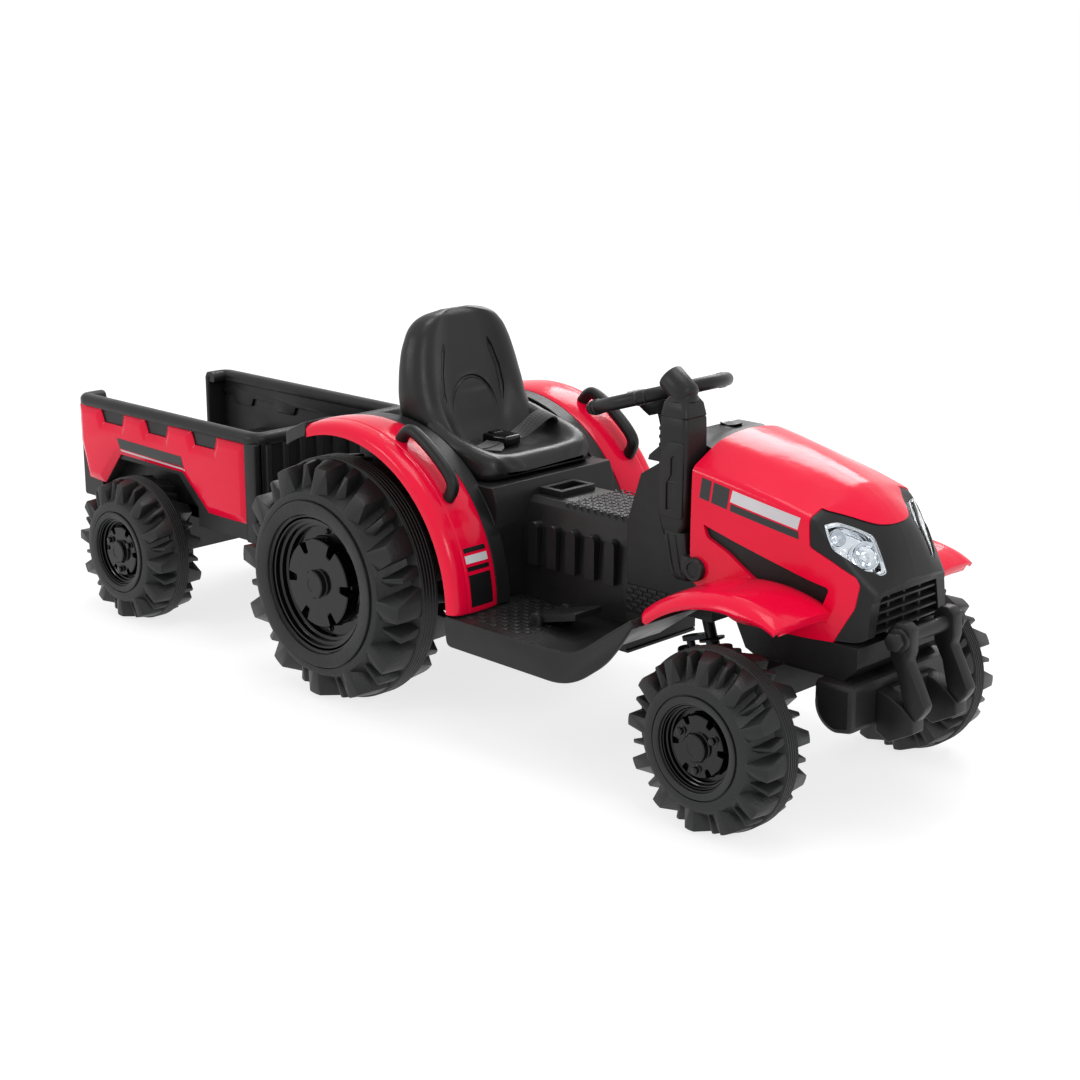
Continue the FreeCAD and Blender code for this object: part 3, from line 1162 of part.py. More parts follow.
# Exhaust stack: side outline of the muffler box
STACK_SHARES = ((0.1, 0), (0.8, 0), (1.0, 0.12), (1.0, 0.80), (0.85, 1.0), (0.15, 1.0), (0, 0.88), (0, 0.10))
SLOT_SHARES = (0.34, 0.74)
ELBOW_SHARE = 0.45
BEND_SHARE = 1 - math.sqrt(0.5)


def exhaust():
    """Muffler box on the driver's right with its slanted tip and the elbow into the hood."""
    near = d.cowl_half + d.seat_gap
    far = near + d.stack_width
    body = new_body("muffler", rear_x)
    low = (stack_x, d.stack_bottom)
    extrude(body, "XZ_Plane", in_box(low, (d.stack_length, d.stack_height), STACK_SHARES), -far, -near)
    slot_x = stack_x + d.stack_length / 2
    half = d.slot_width / 2
    slot_low = d.stack_bottom + d.stack_height * SLOT_SHARES[0]
    slot_top = d.stack_bottom + d.stack_height * SLOT_SHARES[1]
    extrude(body, "XZ_Plane", rectangle(slot_x - half, slot_x + half, slot_low, slot_top), -far - d.overrun,
            d.wall - far, cut=True)
    top = d.stack_bottom + d.stack_height
    y = -(near + far) / 2
    tip = new_body("tip_tube", rear_x + slot_x, y, top, (0, 1, 0), -d.tip_tilt, False)
    bore = d.tip_radius - d.wall
    floor = d.tip_length - d.tip_radius
    revolve(tip, "XZ_Plane", [(0, -d.tip_radius), (d.tip_radius, -d.tip_radius), (d.tip_radius, d.tip_length),
                              (bore, d.tip_length), (bore, floor), (0, floor)])
    under = doc.addObject("Part::Box", "tip_trim")
    place(under, rear_x + stack_x - d.stack_length, -far - d.stack_width, d.stack_bottom + d.seat_gap)
    bind(under, "Length", d.stack_length * 3)
    bind(under, "Width", d.stack_width * 3)
    bind(under, "Height", d.stack_height)
    joined("exhaust_tip", "Cut", tip, under)
    elbow = new_body("exhaust_elbow", rear_x)
    x = stack_x + d.stack_length * ELBOW_SHARE
    path = [(x, d.stack_bottom), (x, d.elbow_z + d.elbow_bend),
            Via(x + d.elbow_bend * BEND_SHARE, d.elbow_z + d.elbow_bend * BEND_SHARE),
            (x + d.elbow_bend, d.elbow_z), (hood_rear - d.seat_gap, d.elbow_z)]
    spine = draw(new_sketch(elbow, "XZ_Plane", -y), path, closed=False)
    disc = draw_circle(new_sketch(elbow, "XY_Plane", d.stack_bottom), d.neck_radius, (x, y))
    tube = elbow.newObject("PartDesign::AdditivePipe", "exhaust_elbow_tube")
    tube.Profile = disc
    tube.Spine = (spine, [""])
    extrude(elbow, "YZ_Plane", (y, d.elbow_z), hood_rear - d.seat_gap - d.wall, hood_rear - d.seat_gap,
            radius=d.elbow_flange)


# Trailer side panel: outline as shares of its length and height, with the wheel arch and three notches
PANEL_SHARES = ((0, 1), (0, 0.52), (0.04, 0.04), (0.14, 0.02), (0.25, 0.45), (0.63, 0.43), (0.775, 0.0), (1, 0),
                (1, 1), (0.838, 1), (0.819, 0.826), (0.708, 0.826), (0.689, 1), (0.554, 1), (0.535, 0.826),
                (0.43, 0.826), (0.41, 1), (0.284, 1), (0.265, 0.826), (0.154, 0.826), (0.135, 1))


# Wheel well in the tub: shares of its half length and height
WELL_SHARES = ((-1, 0), (-1, 0.4), (-0.62, 1), (0.62, 1), (1, 0.4), (1, 0))


def trailer():
    """Open-backed tub with red side panels on a chassis with drawbar and axle block."""
    tail = -d.trailer_gap - d.trailer_tail
    front = -d.tub_front
    body = new_body("trailer_tub", rear_x)
    floor_top = d.tub_bottom + d.tub_floor
    half = d.tub_half
    extrude(body, "XY_Plane", rectangle(tail + d.wall, front, -half, half), d.tub_bottom, floor_top)
    rail_top = d.tub_top + d.rail_height
    for side in (LEFT, RIGHT):
        wall = rectangle(tail + d.wall, front, d.tub_bottom, d.tub_top)
        extrude(body, "XZ_Plane", wall, *span(side, half - d.wall, half))
        rail = rectangle(tail, front, d.tub_top, rail_top)
        extrude(body, "XZ_Plane", rail, *span(side, d.rail_half - d.rail_width, d.rail_half))
        pillar = rectangle(front - d.pillar, front, d.tub_bottom, d.tub_top)
        extrude(body, "XZ_Plane", pillar, *span(side, half - d.wall, d.rail_half - d.seat_gap))
        post = rectangle(tail, tail + d.wall * 2, d.tub_bottom, rail_top)
        extrude(body, "XZ_Plane", post, *span(side, half - d.rail_return, half))
    extrude(body, "XY_Plane", rectangle(front - d.wall * 2, front, -half, half), d.tub_bottom, rail_top)
    reach = d.front_tyre_radius + d.well_gap
    rise = d.front_tyre_radius * 2 + d.well_gap - d.tub_bottom
    low = (-d.trailer_gap, d.tub_bottom)
    well = in_box(low, (reach, rise), WELL_SHARES)
    lining = in_box(low, (reach + d.wall, rise + d.wall), WELL_SHARES)
    depth = d.trailer_wheel_y - d.front_tyre_width / 2 - d.well_gap / 2
    for side in (LEFT, RIGHT):
        extrude(body, "XZ_Plane", lining, *span(side, depth - d.wall, half))
        extrude(body, "XZ_Plane", well, *span(side, depth, d.rail_half + d.overrun), cut=True)
    rib_y = d.tub_rib_width - half
    rib = rectangle(front, front + d.tub_rib_depth, rib_y, rib_y + d.tub_rib_width)
    bar = extrude(body, "XY_Plane", rib, floor_top, d.tub_top)
    pitch = (half * 2 - d.tub_rib_width * 3) / (TRAILER_RIBS - 1)
    in_row(body, [bar], TRAILER_RIBS, pitch, "Y_Axis")
    length = front - d.pillar - d.seat_gap - tail - d.wall
    for name, side in SIDES:
        panel = new_body(f"trailer_panel_{name}", rear_x)
        outline = in_box((tail + d.wall, d.panel_bottom), (length, d.tub_top - d.panel_bottom), PANEL_SHARES)
        near = half + d.seat_gap
        extrude(panel, "XZ_Plane", outline, *span(side, near, near + d.panel_skin))
    chassis = new_body("trailer_chassis", rear_x)
    block_half = d.axle_block_length / 2
    axle_x = -d.trailer_gap
    low = d.front_tyre_radius - d.axle_block_drop
    block = [(axle_x - block_half, d.tub_bottom), (axle_x - d.axle_block_drop, low), (axle_x + d.axle_block_drop, low),
             (axle_x + block_half, d.tub_bottom)]
    extrude(chassis, "XZ_Plane", block, -d.axle_block_half, d.axle_block_half)
    half = d.drawbar_width / 2
    bar = rectangle(axle_x, -d.hitch_back, -half, half)
    extrude(chassis, "XY_Plane", bar, d.drawbar_z, d.tub_bottom)
    eye = (-d.hitch_back, ZERO)
    extrude(chassis, "XY_Plane", eye, d.drawbar_z, d.tub_bottom, radius=d.hitch_eye_radius)
    extrude(chassis, "XY_Plane", eye, d.drawbar_z - d.overrun, d.tub_bottom + d.overrun, cut=True,
            radius=d.hitch_radius + d.running_gap)
    extrude(chassis, "XZ_Plane", (axle_x, d.front_tyre_radius), -d.axle_block_half - d.overrun,
            d.axle_block_half + d.overrun, cut=True, radius=d.axle_radius + d.running_gap)
    pin = new_body("hitch_pin", rear_x)
    head = d.tub_bottom + d.seat_gap
    tongue_low = d.drawbar_z - d.seat_gap - d.tongue_height
    extrude(pin, "XY_Plane", eye, tongue_low - d.hitch_head_height, head, radius=d.hitch_radius)
    extrude(pin, "XY_Plane", eye, head, head + d.hitch_head_height, radius=d.hitch_head_radius)


wheels()
seat_base()
inner_works()
rear_fenders()
seat()
footboards()
tunnel()
cowl()
steering()
hood_and_nose()
front_chassis()
front_linkage()
front_fenders()
exhaust()
trailer()
doc.recompute()


def check_and_write():
    """Stop if any object failed; then write one file per piece."""
    failed = [item.Label for item in doc.Objects if "Invalid" in item.State or "Error" in item.State]
    for piece in nodes:
        if piece.Shape.isNull() or not piece.Shape.isValid():
            failed.append(piece.Label)
    if failed:
        raise RuntimeError(f"these objects failed: {failed}")
    os.makedirs("parts", exist_ok=True)
    for piece in nodes:
        piece.Shape.exportStep(os.path.join("parts", f"{piece.Label}.step"))
        print(piece.Label, len(piece.Shape.Solids), round(piece.Shape.Volume))


check_and_write()
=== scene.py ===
"""Studio scene of a ride-on toy tractor with its trailer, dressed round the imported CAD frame.

Lengths are written in millimetres from the rear axle's station on the ground, +X forward and +Y to the
driver's left, and at() turns them into the frame's metres.
"""

import logging
from dataclasses import dataclass, field
from enum import Enum
from functools import cache
from math import cos, degrees, pi, radians, sin
from typing import Callable, Iterable, Sequence

import bmesh
import bpy
from mathutils import Matrix, Vector
from mathutils.bvhtree import BVHTree


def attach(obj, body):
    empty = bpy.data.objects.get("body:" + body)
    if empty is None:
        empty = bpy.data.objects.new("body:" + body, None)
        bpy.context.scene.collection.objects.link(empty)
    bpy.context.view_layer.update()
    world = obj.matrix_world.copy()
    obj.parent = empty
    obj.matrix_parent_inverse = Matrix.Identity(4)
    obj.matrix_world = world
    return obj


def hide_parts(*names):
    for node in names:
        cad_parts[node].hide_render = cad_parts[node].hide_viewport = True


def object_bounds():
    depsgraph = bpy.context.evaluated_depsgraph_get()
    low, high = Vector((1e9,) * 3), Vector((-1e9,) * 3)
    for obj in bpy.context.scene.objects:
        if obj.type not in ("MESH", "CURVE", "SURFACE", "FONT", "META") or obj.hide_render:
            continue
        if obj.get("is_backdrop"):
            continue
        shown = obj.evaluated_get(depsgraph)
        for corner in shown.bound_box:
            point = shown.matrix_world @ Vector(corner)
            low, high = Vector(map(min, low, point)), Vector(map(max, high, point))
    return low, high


LOG = logging.getLogger("ride_on_tractor")
MM = 0.001
REAR_AXLE_X = -82.0
WHITE = (1.0, 1.0, 1.0, 1.0)
Pair = tuple[float, float]
Triple = tuple[float, float, float]
Piece = bpy.types.Object
Material = bpy.types.Material
Node = bpy.types.Node
Tree = bpy.types.NodeTree
Socket = bpy.types.NodeSocket
Verts = list[bmesh.types.BMVert]

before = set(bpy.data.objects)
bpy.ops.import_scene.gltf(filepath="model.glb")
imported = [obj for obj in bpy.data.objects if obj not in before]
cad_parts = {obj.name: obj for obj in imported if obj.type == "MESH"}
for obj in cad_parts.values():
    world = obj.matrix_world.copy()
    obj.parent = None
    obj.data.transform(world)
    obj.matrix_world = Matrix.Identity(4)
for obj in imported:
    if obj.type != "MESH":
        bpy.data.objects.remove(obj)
CAD_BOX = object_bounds()


class Side(Enum):
    """The driver's left or right, as the sign of Y."""

    LEFT = 1
    RIGHT = -1

    @property
    def word(self) -> str:
        """The side's ending in node names."""
        return self.name.lower()


def at(x: float, y: float, z: float) -> Vector:
    """Turn millimetres from the rear axle's station into the frame's metres."""
    return Vector(((x + REAR_AXLE_X) * MM, y * MM, z * MM))


def linear(colour: str) -> tuple[float, float, float, float]:
    """Turn an sRGB hex colour into linear red, green, blue and alpha.

    Args:
        colour: Six hex digits after a hash sign.

    Returns:
        The linear colour with an alpha of one.
    """
    parts = [int(colour[i:i + 2], 16) / 255 for i in (1, 3, 5)]
    red, green, blue = (c / 12.92 if c <= 0.04045 else ((c + 0.055) / 1.055) ** 2.4 for c in parts)
    return (red, green, blue, 1.0)


def wire(tree: Tree, node: Node, inputs: dict) -> None:
    """Link or set a node's inputs.

    Args:
        tree: The node tree.
        node: The node.
        inputs: Socket names or numbers to values or to sockets that feed them.
    """
    for key, value in inputs.items():
        if isinstance(value, Socket):
            tree.links.new(value, node.inputs[key])
        else:
            node.inputs[key].default_value = value


def add_node(tree: Tree, kind: str, inputs: dict | None = None, **settings) -> Node:
    """Add a node with its settings and links.

    Args:
        tree: The node tree.
        kind: The node's type name.
        inputs: Socket names or numbers to values or to sockets that feed them.
        **settings: Attributes of the node.

    Returns:
        The new node.
    """
    node = tree.nodes.new(kind)
    for key, value in settings.items():
        setattr(node, key, value)
    wire(tree, node, inputs or {})
    return node


# Finishes

def start_material(name: str) -> tuple[Material, Node, Socket]:
    """Start a material whose patterns read Object coordinates.

    Args:
        name: The material's name.

    Returns:
        The material, its shader and the coordinates.
    """
    material = bpy.data.materials.new(name)
    material.use_nodes = True
    place = add_node(material.node_tree, "ShaderNodeTexCoord").outputs["Object"]
    return material, material.node_tree.nodes["Principled BSDF"], place


def wave_scale(ridge_mm: float) -> float:
    """The Wave texture's scale for ridges of a width in millimetres."""
    return 1000 / ridge_mm / 20 * pi


@dataclass(frozen=True)
class Moulded:
    """A moulded thermoplastic: a faintly cloudy colour, a tool grain as bump, and convex edges painted paler,
    partly as a painted highlight and partly as wear.
    """

    name: str
    colour: str
    cloud: str
    roughness: float
    grain_mm: float
    grain_depth: float
    spread: float = 0.06
    cloud_mm: float = 90.0
    ior: float = 1.5
    # Colour painted on convex edges: a painted highlight along the edges, with a little wear
    edge: str = ""

    def build(self) -> Material:
        """Make the material.

        Returns:
            A material with a rubbed roughness over the grain.
        """
        material, shader, place = start_material(self.name)
        tree = material.node_tree
        clouds = add_node(tree, "ShaderNodeTexNoise", {
            "Vector": place, "Scale": 1000 / self.cloud_mm, "Detail": 3.0})
        tint = add_node(tree, "ShaderNodeValToRGB", {"Fac": clouds.outputs["Fac"]})
        for stop, spot, tone in zip(tint.color_ramp.elements, (0.35, 0.7), (self.colour, self.cloud)):
            stop.position = spot
            stop.color = linear(tone)
        rub = add_node(tree, "ShaderNodeTexNoise", {
            "Vector": place, "Scale": 1000 / (self.cloud_mm * 0.35), "Detail": 5.0})
        rough = add_node(tree, "ShaderNodeMapRange", {
            "Value": rub.outputs["Fac"], "From Min": 0.3, "From Max": 0.7,
            "To Min": self.roughness - self.spread, "To Max": self.roughness + self.spread})
        grain = add_node(tree, "ShaderNodeTexNoise", {
            "Vector": place, "Scale": 1000 / self.grain_mm, "Detail": 2.0})
        bump = add_node(tree, "ShaderNodeBump", {
            "Height": grain.outputs["Fac"], "Strength": self.grain_depth, "Distance": self.grain_mm * MM})
        colour = tint.outputs["Color"]
        # Convex edges, found by pointiness, are painted paler: a painted highlight along the edges, with a
        # little wear
        if self.edge:
            shape = add_node(tree, "ShaderNodeNewGeometry")
            edge_highlight_and_wear = add_node(tree, "ShaderNodeMapRange", {
                "Value": shape.outputs["Pointiness"], "From Min": 0.52, "From Max": 0.62, "To Max": 0.5})
            mix = add_node(tree, "ShaderNodeMix", {
                "Factor": edge_highlight_and_wear.outputs["Result"], "A": colour, "B": linear(self.edge)}, data_type="RGBA")
            colour = mix.outputs["Result"]
        wire(tree, shader, {
            "Base Color": colour, "Roughness": rough.outputs["Result"],
            "Normal": bump.outputs["Normal"], "IOR": self.ior})
        return material


@dataclass(frozen=True)
class Metal:
    """A bare or plated metal with fine rubbing marks in its roughness."""

    name: str
    colour: str
    roughness: float
    rub_mm: float = 6.0

    def build(self) -> Material:
        """Make the material.

        Returns:
            A metal of one colour.
        """
        material, shader, place = start_material(self.name)
        tree = material.node_tree
        rub = add_node(tree, "ShaderNodeTexNoise", {
            "Vector": place, "Scale": 1000 / self.rub_mm, "Detail": 4.0})
        rough = add_node(tree, "ShaderNodeMapRange", {
            "Value": rub.outputs["Fac"], "To Min": self.roughness * 0.7, "To Max": self.roughness * 1.3})
        wire(tree, shader, {
            "Base Color": linear(self.colour), "Metallic": 1.0, "Roughness": rough.outputs["Result"]})
        return material


@dataclass(frozen=True)
class ClearLens:
    """Clear polycarbonate with fine upright flutes on its inside."""

    name: str
    colour: str
    flute_mm: float

    def build(self) -> Material:
        """Make the material.

        Returns:
            A clear material with fluted bump.
        """
        material, shader, place = start_material(self.name)
        tree = material.node_tree
        flutes = add_node(tree, "ShaderNodeTexWave", {
            "Vector": place, "Scale": wave_scale(self.flute_mm)}, bands_direction="Y")
        bump = add_node(tree, "ShaderNodeBump", {
            "Height": flutes.outputs["Fac"], "Strength": 0.12, "Distance": 0.4 * MM})
        wire(tree, shader, {
            "Base Color": linear(self.colour), "Roughness": 0.04, "IOR": 1.2, "Transmission Weight": 1.0,
            "Normal": bump.outputs["Normal"]})
        return material


@dataclass(frozen=True)
class Webbing:
    """Woven polyester webbing: ribs across the strap, as coarse as they need to be to show."""

    name: str
    colour: str
    thread: str
    rib_mm: float

    def build(self) -> Material:
        """Make the material.

        Returns:
            A woven material in two tones.
        """
        material, shader, place = start_material(self.name)
        tree = material.node_tree
        scale = wave_scale(self.rib_mm)
        across = add_node(tree, "ShaderNodeTexWave", {"Vector": place, "Scale": scale}, bands_direction="Y")
        along = add_node(
            tree, "ShaderNodeTexWave", {"Vector": place, "Scale": scale * 0.6}, bands_direction="X")
        weave = add_node(tree, "ShaderNodeMath", {
            0: across.outputs["Fac"], 1: along.outputs["Fac"]}, operation="MULTIPLY").outputs["Value"]
        tint = add_node(tree, "ShaderNodeMix", {
            "Factor": weave, "A": linear(self.colour), "B": linear(self.thread)}, data_type="RGBA")
        bump = add_node(tree, "ShaderNodeBump", {"Height": weave, "Strength": 0.6, "Distance": 0.5 * MM})
        wire(tree, shader, {
            "Base Color": tint.outputs["Result"], "Roughness": 0.8, "Sheen Weight": 0.3,
            "Normal": bump.outputs["Normal"]})
        return material


class Finish(Enum):
    """Every finish on the toy, each a recipe that is built once."""

    # ABS from a polished tool: deep colour, a clear reflection and the faint waviness of a thin wall
    RED = Moulded("red_abs_gloss", "#D60430", "#DE0836", 0.16, 9.0, 0.03, 0.03, 140.0, 1.31)
    # Polypropylene from an etched tool: dark grey rather than black, a soft broad highlight, and convex edges
    # painted paler as a painted highlight with a little wear
    BLACK = Moulded(
        "black_polypropylene_grained", "#121213", "#171718", 0.40, 1.4, 0.14, ior=1.34, edge="#2E2E2F")
    # The seat's tool is etched finer, so its highlight is tighter; its convex edges are painted paler as a
    # painted highlight with a little wear
    SEAT = Moulded(
        "black_polypropylene_satin", "#101011", "#151516", 0.36, 1.8, 0.10, 0.05, ior=1.40, edge="#303031")
    # Blow-moulded polyethylene: greyer, dull, with a slight orange peel, and lug edges painted paler as a
    # painted highlight with a little wear
    TYRE = Moulded("tyre_polyethylene_dull", "#121213", "#18191A", 0.42, 4.0, 0.10, ior=1.38, edge="#38393A")
    # Polished black ABS of the hub caps: a mirror-like highlight on near black
    GLOSS = Moulded("black_abs_polished", "#050506", "#080809", 0.13, 10.0, 0.02, 0.02, 120.0, 1.40)
    # Unpolished housings inside the body: a dull mid grey
    GREY = Moulded("grey_polypropylene", "#55565A", "#5E6064", 0.5, 1.6, 0.12)
    # Printed films: flat colour with a low sheen
    STRIPE = Moulded("printed_vinyl_dark", "#0E0E10", "#141416", 0.32, 3.0, 0.04, 0.04)
    STRIPE_PALE = Moulded("printed_vinyl_silver", "#B9BABD", "#C6C7CA", 0.30, 3.0, 0.04, 0.04)
    # Small glossy mouldings: clean colour, a soft-edged reflection
    RED_BUTTON = Moulded("red_abs_button", "#B5121B", "#C0151F", 0.25, 5.0, 0.04)
    WHITE_BUTTON = Moulded("white_abs_button", "#D8D8D6", "#E2E2E0", 0.28, 5.0, 0.04)
    # Axles and pins: bright and slightly milky
    STEEL = Metal("zinc_plated_steel", "#B9BBBE", 0.3)
    # Rods and levers blackened in oil: dark, with a metallic edge
    BLACK_STEEL = Metal("blackened_steel", "#2B2C2E", 0.34)
    # Reflectors plated in vacuum: a mirror
    CHROME = Metal("vacuum_plated_chrome", "#E6E8EB", 0.06)
    # Moulded covers: clear, with lines that break up what lies behind
    LENS = ClearLens("clear_polycarbonate", "#F4F7F9", 3.0)
    # Flat woven belt: matt, with a fine rib
    WEBBING = Webbing("polyester_webbing", "#121213", "#2A2A2B", 1.6)

    def material(self) -> Material:
        """The finish as a material, made on its first use."""
        return bpy.data.materials.get(self.value.name) or self.value.build()


# Mesh making

def new_tree(name: str, inputs: dict[str, str]) -> Tree:
    """Start a node tree that takes and gives a geometry.

    Args:
        name: The tree's name.
        inputs: Names of its other inputs to their kinds.

    Returns:
        The tree without nodes.
    """
    tree = bpy.data.node_groups.new(name, "GeometryNodeTree")
    for label, kind in {"Geometry": "Geometry", **inputs}.items():
        tree.interface.new_socket(label, in_out="INPUT", socket_type=f"NodeSocket{kind}")
    tree.interface.new_socket("Geometry", in_out="OUTPUT", socket_type="NodeSocketGeometry")
    return tree


def finish_tree(tree: Tree, copies: Node, finish: Socket) -> None:
    """End a node tree by turning instances into plain mesh with a finish.

    Args:
        tree: The tree.
        copies: The node that gives the instances.
        finish: The material's socket.
    """
    real = add_node(tree, "GeometryNodeRealizeInstances", {"Geometry": copies.outputs[0]})
    dressed = add_node(tree, "GeometryNodeSetMaterial", {"Geometry": real.outputs[0], "Material": finish})
    add_node(tree, "NodeGroupOutput", {0: dressed.outputs[0]})


@cache
def smooth_tree() -> Tree:
    """The node tree that drops imported normals and shades smooth except at sharp edges.

    Returns:
        A geometry node tree with a named input for the angle.
    """
    tree = new_tree("shade_by_angle", {"Sharp Angle": "Float"})
    tree.interface.items_tree["Sharp Angle"].default_value = radians(32)
    source = add_node(tree, "NodeGroupInput").outputs
    bare = add_node(tree, "GeometryNodeRemoveAttribute", {
        "Geometry": source["Geometry"], "Name": "custom_normal"})
    smooth = add_node(tree, "GeometryNodeSetShadeSmooth", {"Geometry": bare.outputs[0], "Shade Smooth": True})
    bend = add_node(tree, "GeometryNodeInputMeshEdgeAngle")
    sharp = add_node(tree, "FunctionNodeCompare", {
        0: bend.outputs["Unsigned Angle"], 1: source["Sharp Angle"]},
        data_type="FLOAT", operation="GREATER_THAN")
    edged = add_node(tree, "GeometryNodeSetShadeSmooth", {
        "Geometry": smooth.outputs[0], "Selection": sharp.outputs[0], "Shade Smooth": False}, domain="EDGE")
    add_node(tree, "NodeGroupOutput", {0: edged.outputs[0]})
    return tree


def soften(node: str, finish: Finish, width: float) -> None:
    """Give a CAD node its finish and the rounded edges that a mould leaves, with live modifiers.

    Args:
        node: The CAD node's name.
        finish: The finish for all its slots.
        width: The edge rounding in millimetres.
    """
    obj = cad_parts[node]
    obj.data.materials.clear()
    obj.data.materials.append(finish.material())
    weld = obj.modifiers.new("weld", "WELD")
    weld.merge_threshold = 0.00002
    obj.modifiers.new("clean", "NODES").node_group = smooth_tree()
    flat = obj.modifiers.new("flat", "DECIMATE")
    flat.decimate_type = "DISSOLVE"
    flat.angle_limit = radians(0.4)
    bevel = obj.modifiers.new("edges", "BEVEL")
    bevel.width = width * MM
    bevel.segments = 2
    bevel.limit_method = "ANGLE"
    bevel.angle_limit = radians(30)
    bevel.use_clamp_overlap = True
    bevel.miter_outer = "MITER_ARC"
    obj.modifiers.new("shade", "NODES").node_group = smooth_tree()


class Shape:
    """A mesh in the making, in millimetres from the rear axle's station."""

    def __init__(self, name: str) -> None:
        """Start an empty mesh with the piece's name."""
        self.name = name
        self.bm = bmesh.new()

    def runs(self, rings: Sequence[Sequence[Sequence[float]]]) -> list[Verts]:
        """Add runs of points and return them."""
        return [[self.bm.verts.new(point) for point in points] for points in rings]

    def skin(self, first: Verts, second: Verts) -> None:
        """Join two closed runs with quads.

        Args:
            first: One run.
            second: A run with as many points.
        """
        count = len(first)
        for i in range(count):
            j = (i + 1) % count
            self.bm.faces.new((first[i], first[j], second[j], second[i]))

    def loft(self, rings: Sequence[Sequence[Sequence[float]]], loop: bool = False) -> "Shape":
        """Skin a row of closed runs and fill its ends.

        Args:
            rings: Runs with the same number of points.
            loop: Whether the last run joins the first instead.

        Returns:
            The shape itself.
        """
        made = self.runs(rings)
        for first, second in zip(made, made[1:] + made[:1] if loop else made[1:]):
            self.skin(first, second)
        if not loop:
            self.bm.faces.new(list(reversed(made[0])))
            self.bm.faces.new(made[-1])
        return self

    def turn(self, profile: Sequence[Pair], centre: Triple, count: int, axis: str = "Y") -> "Shape":
        """Turn a closed profile of radius and axial distance about an axis through a centre.

        Args:
            profile: Pairs of radius and distance along the axis.
            centre: The point that the distances are counted from.
            count: Facets round the axis.
            axis: The letter of the axis.

        Returns:
            The shape itself.
        """
        rings = []
        for c, s in circle(1.0, count):
            points = []
            for radius, along in profile:
                spin = {"Y": (radius * c, along, radius * s), "Z": (radius * c, radius * s, along)}[axis]
                points.append(tuple(a + b for a, b in zip(centre, spin)))
            rings.append(points)
        self.loft(rings, loop=True)
        bmesh.ops.remove_doubles(self.bm, verts=self.bm.verts, dist=0.0005)
        return self

    def prism(self, outline: Sequence[Pair], start: float, end: float, plane: str = "XZ") -> "Shape":
        """Fill an outline and give it a thickness along the third axis.

        Args:
            outline: Points in the plane.
            start: Offset of the first face.
            end: Offset of the second face.
            plane: The two letters of the plane.

        Returns:
            The shape itself.
        """
        def spot(u: float, v: float, w: float) -> Triple:
            """The point in space."""
            return {"XZ": (u, w, v), "XY": (u, v, w), "YZ": (w, u, v)}[plane]
        return self.loft([[spot(u, v, w) for u, v in outline] for w in (start, end)])

    def tube(self, path: Sequence[Sequence[float]], radius: float | Sequence[float], sides: int) -> "Shape":
        """Sweep a circle along a path of points without twisting it.

        Args:
            path: The points of the middle line.
            radius: One radius, or one for each point.
            sides: Facets round the tube.

        Returns:
            The shape itself.
        """
        points = [Vector(point) for point in path]
        radii = [radius] * len(points) if isinstance(radius, (int, float)) else radius
        directions = tangents(points)
        across = directions[0].orthogonal().normalized()
        rings = []
        for point, tangent, reach in zip(points, directions, radii):
            across = (across - tangent * across.dot(tangent)).normalized()
            other = tangent.cross(across)
            rings.append([point + (across * c + other * s) * reach for c, s in circle(1.0, sides)])
        return self.loft(rings)

    def round_edges(self, width: float, segments: int = 2, angle: float = 28.0) -> "Shape":
        """Bevel every edge that is sharp enough.

        Args:
            width: How far each edge is cut back.
            segments: Facets across it.
            angle: Edges sharper than this many degrees are cut.

        Returns:
            The shape itself.
        """
        self.bm.normal_update()
        limit = radians(angle)
        edges = [e for e in self.bm.edges if len(e.link_faces) == 2 and e.calc_face_angle(0.0) > limit]
        bmesh.ops.bevel(self.bm, geom=edges, offset=width, offset_type="OFFSET", segments=segments,
                        profile=0.5, affect="EDGES", clamp_overlap=True)
        return self

    def move(self, turn: Matrix | None = None, shift: Sequence[float] = (0, 0, 0)) -> "Shape":
        """Turn the whole mesh about the zero point, then shift it.

        Args:
            turn: The turn, if any.
            shift: The shift.

        Returns:
            The shape itself.
        """
        if turn is not None:
            bmesh.ops.transform(self.bm, matrix=turn.to_4x4(), verts=self.bm.verts)
        bmesh.ops.translate(self.bm, vec=Vector(shift), verts=self.bm.verts)
        return self

    def to_origin(self) -> "Shape":
        """Shift a shape made round the zero point to the frame's origin, for a node tree to repeat."""
        return self.move(shift=(-REAR_AXLE_X, 0, 0))

    def flip_to(self, side: Side) -> "Shape":
        """Mirror a shape that was made for the left to the side that is asked for."""
        if side is Side.RIGHT:
            bmesh.ops.scale(self.bm, vec=Vector((1, -1, 1)), verts=self.bm.verts)
        return self

    def object(self, sharp: float = 38.0, finish: Finish = Finish.BLACK) -> Piece:
        """Turn the mesh into an object in the frame's metres.

        Args:
            sharp: Edges sharper than this many degrees stay sharp.
            finish: The piece's finish.

        Returns:
            The object, linked to the scene.
        """
        bmesh.ops.recalc_face_normals(self.bm, faces=self.bm.faces)
        for vert in self.bm.verts:
            vert.co = at(*vert.co)
        mesh = bpy.data.meshes.new(self.name)
        self.bm.to_mesh(mesh)
        self.bm.free()
        obj = bpy.data.objects.new(self.name, mesh)
        bpy.context.scene.collection.objects.link(obj)
        mesh.materials.append(finish.material())
        return shade(obj, sharp)


def circle(radius: float, count: int, centre: Pair = (0.0, 0.0)) -> list[Pair]:
    """Points evenly round a centre, from the first axis towards the second."""
    angles = [2 * pi * k / count for k in range(count)]
    return [(centre[0] + radius * cos(a), centre[1] + radius * sin(a)) for a in angles]


def rectangle(low: Pair, high: Pair) -> list[Pair]:
    """The corners of a rectangle, from its lowest one."""
    return [low, (high[0], low[1]), high, (low[0], high[1])]


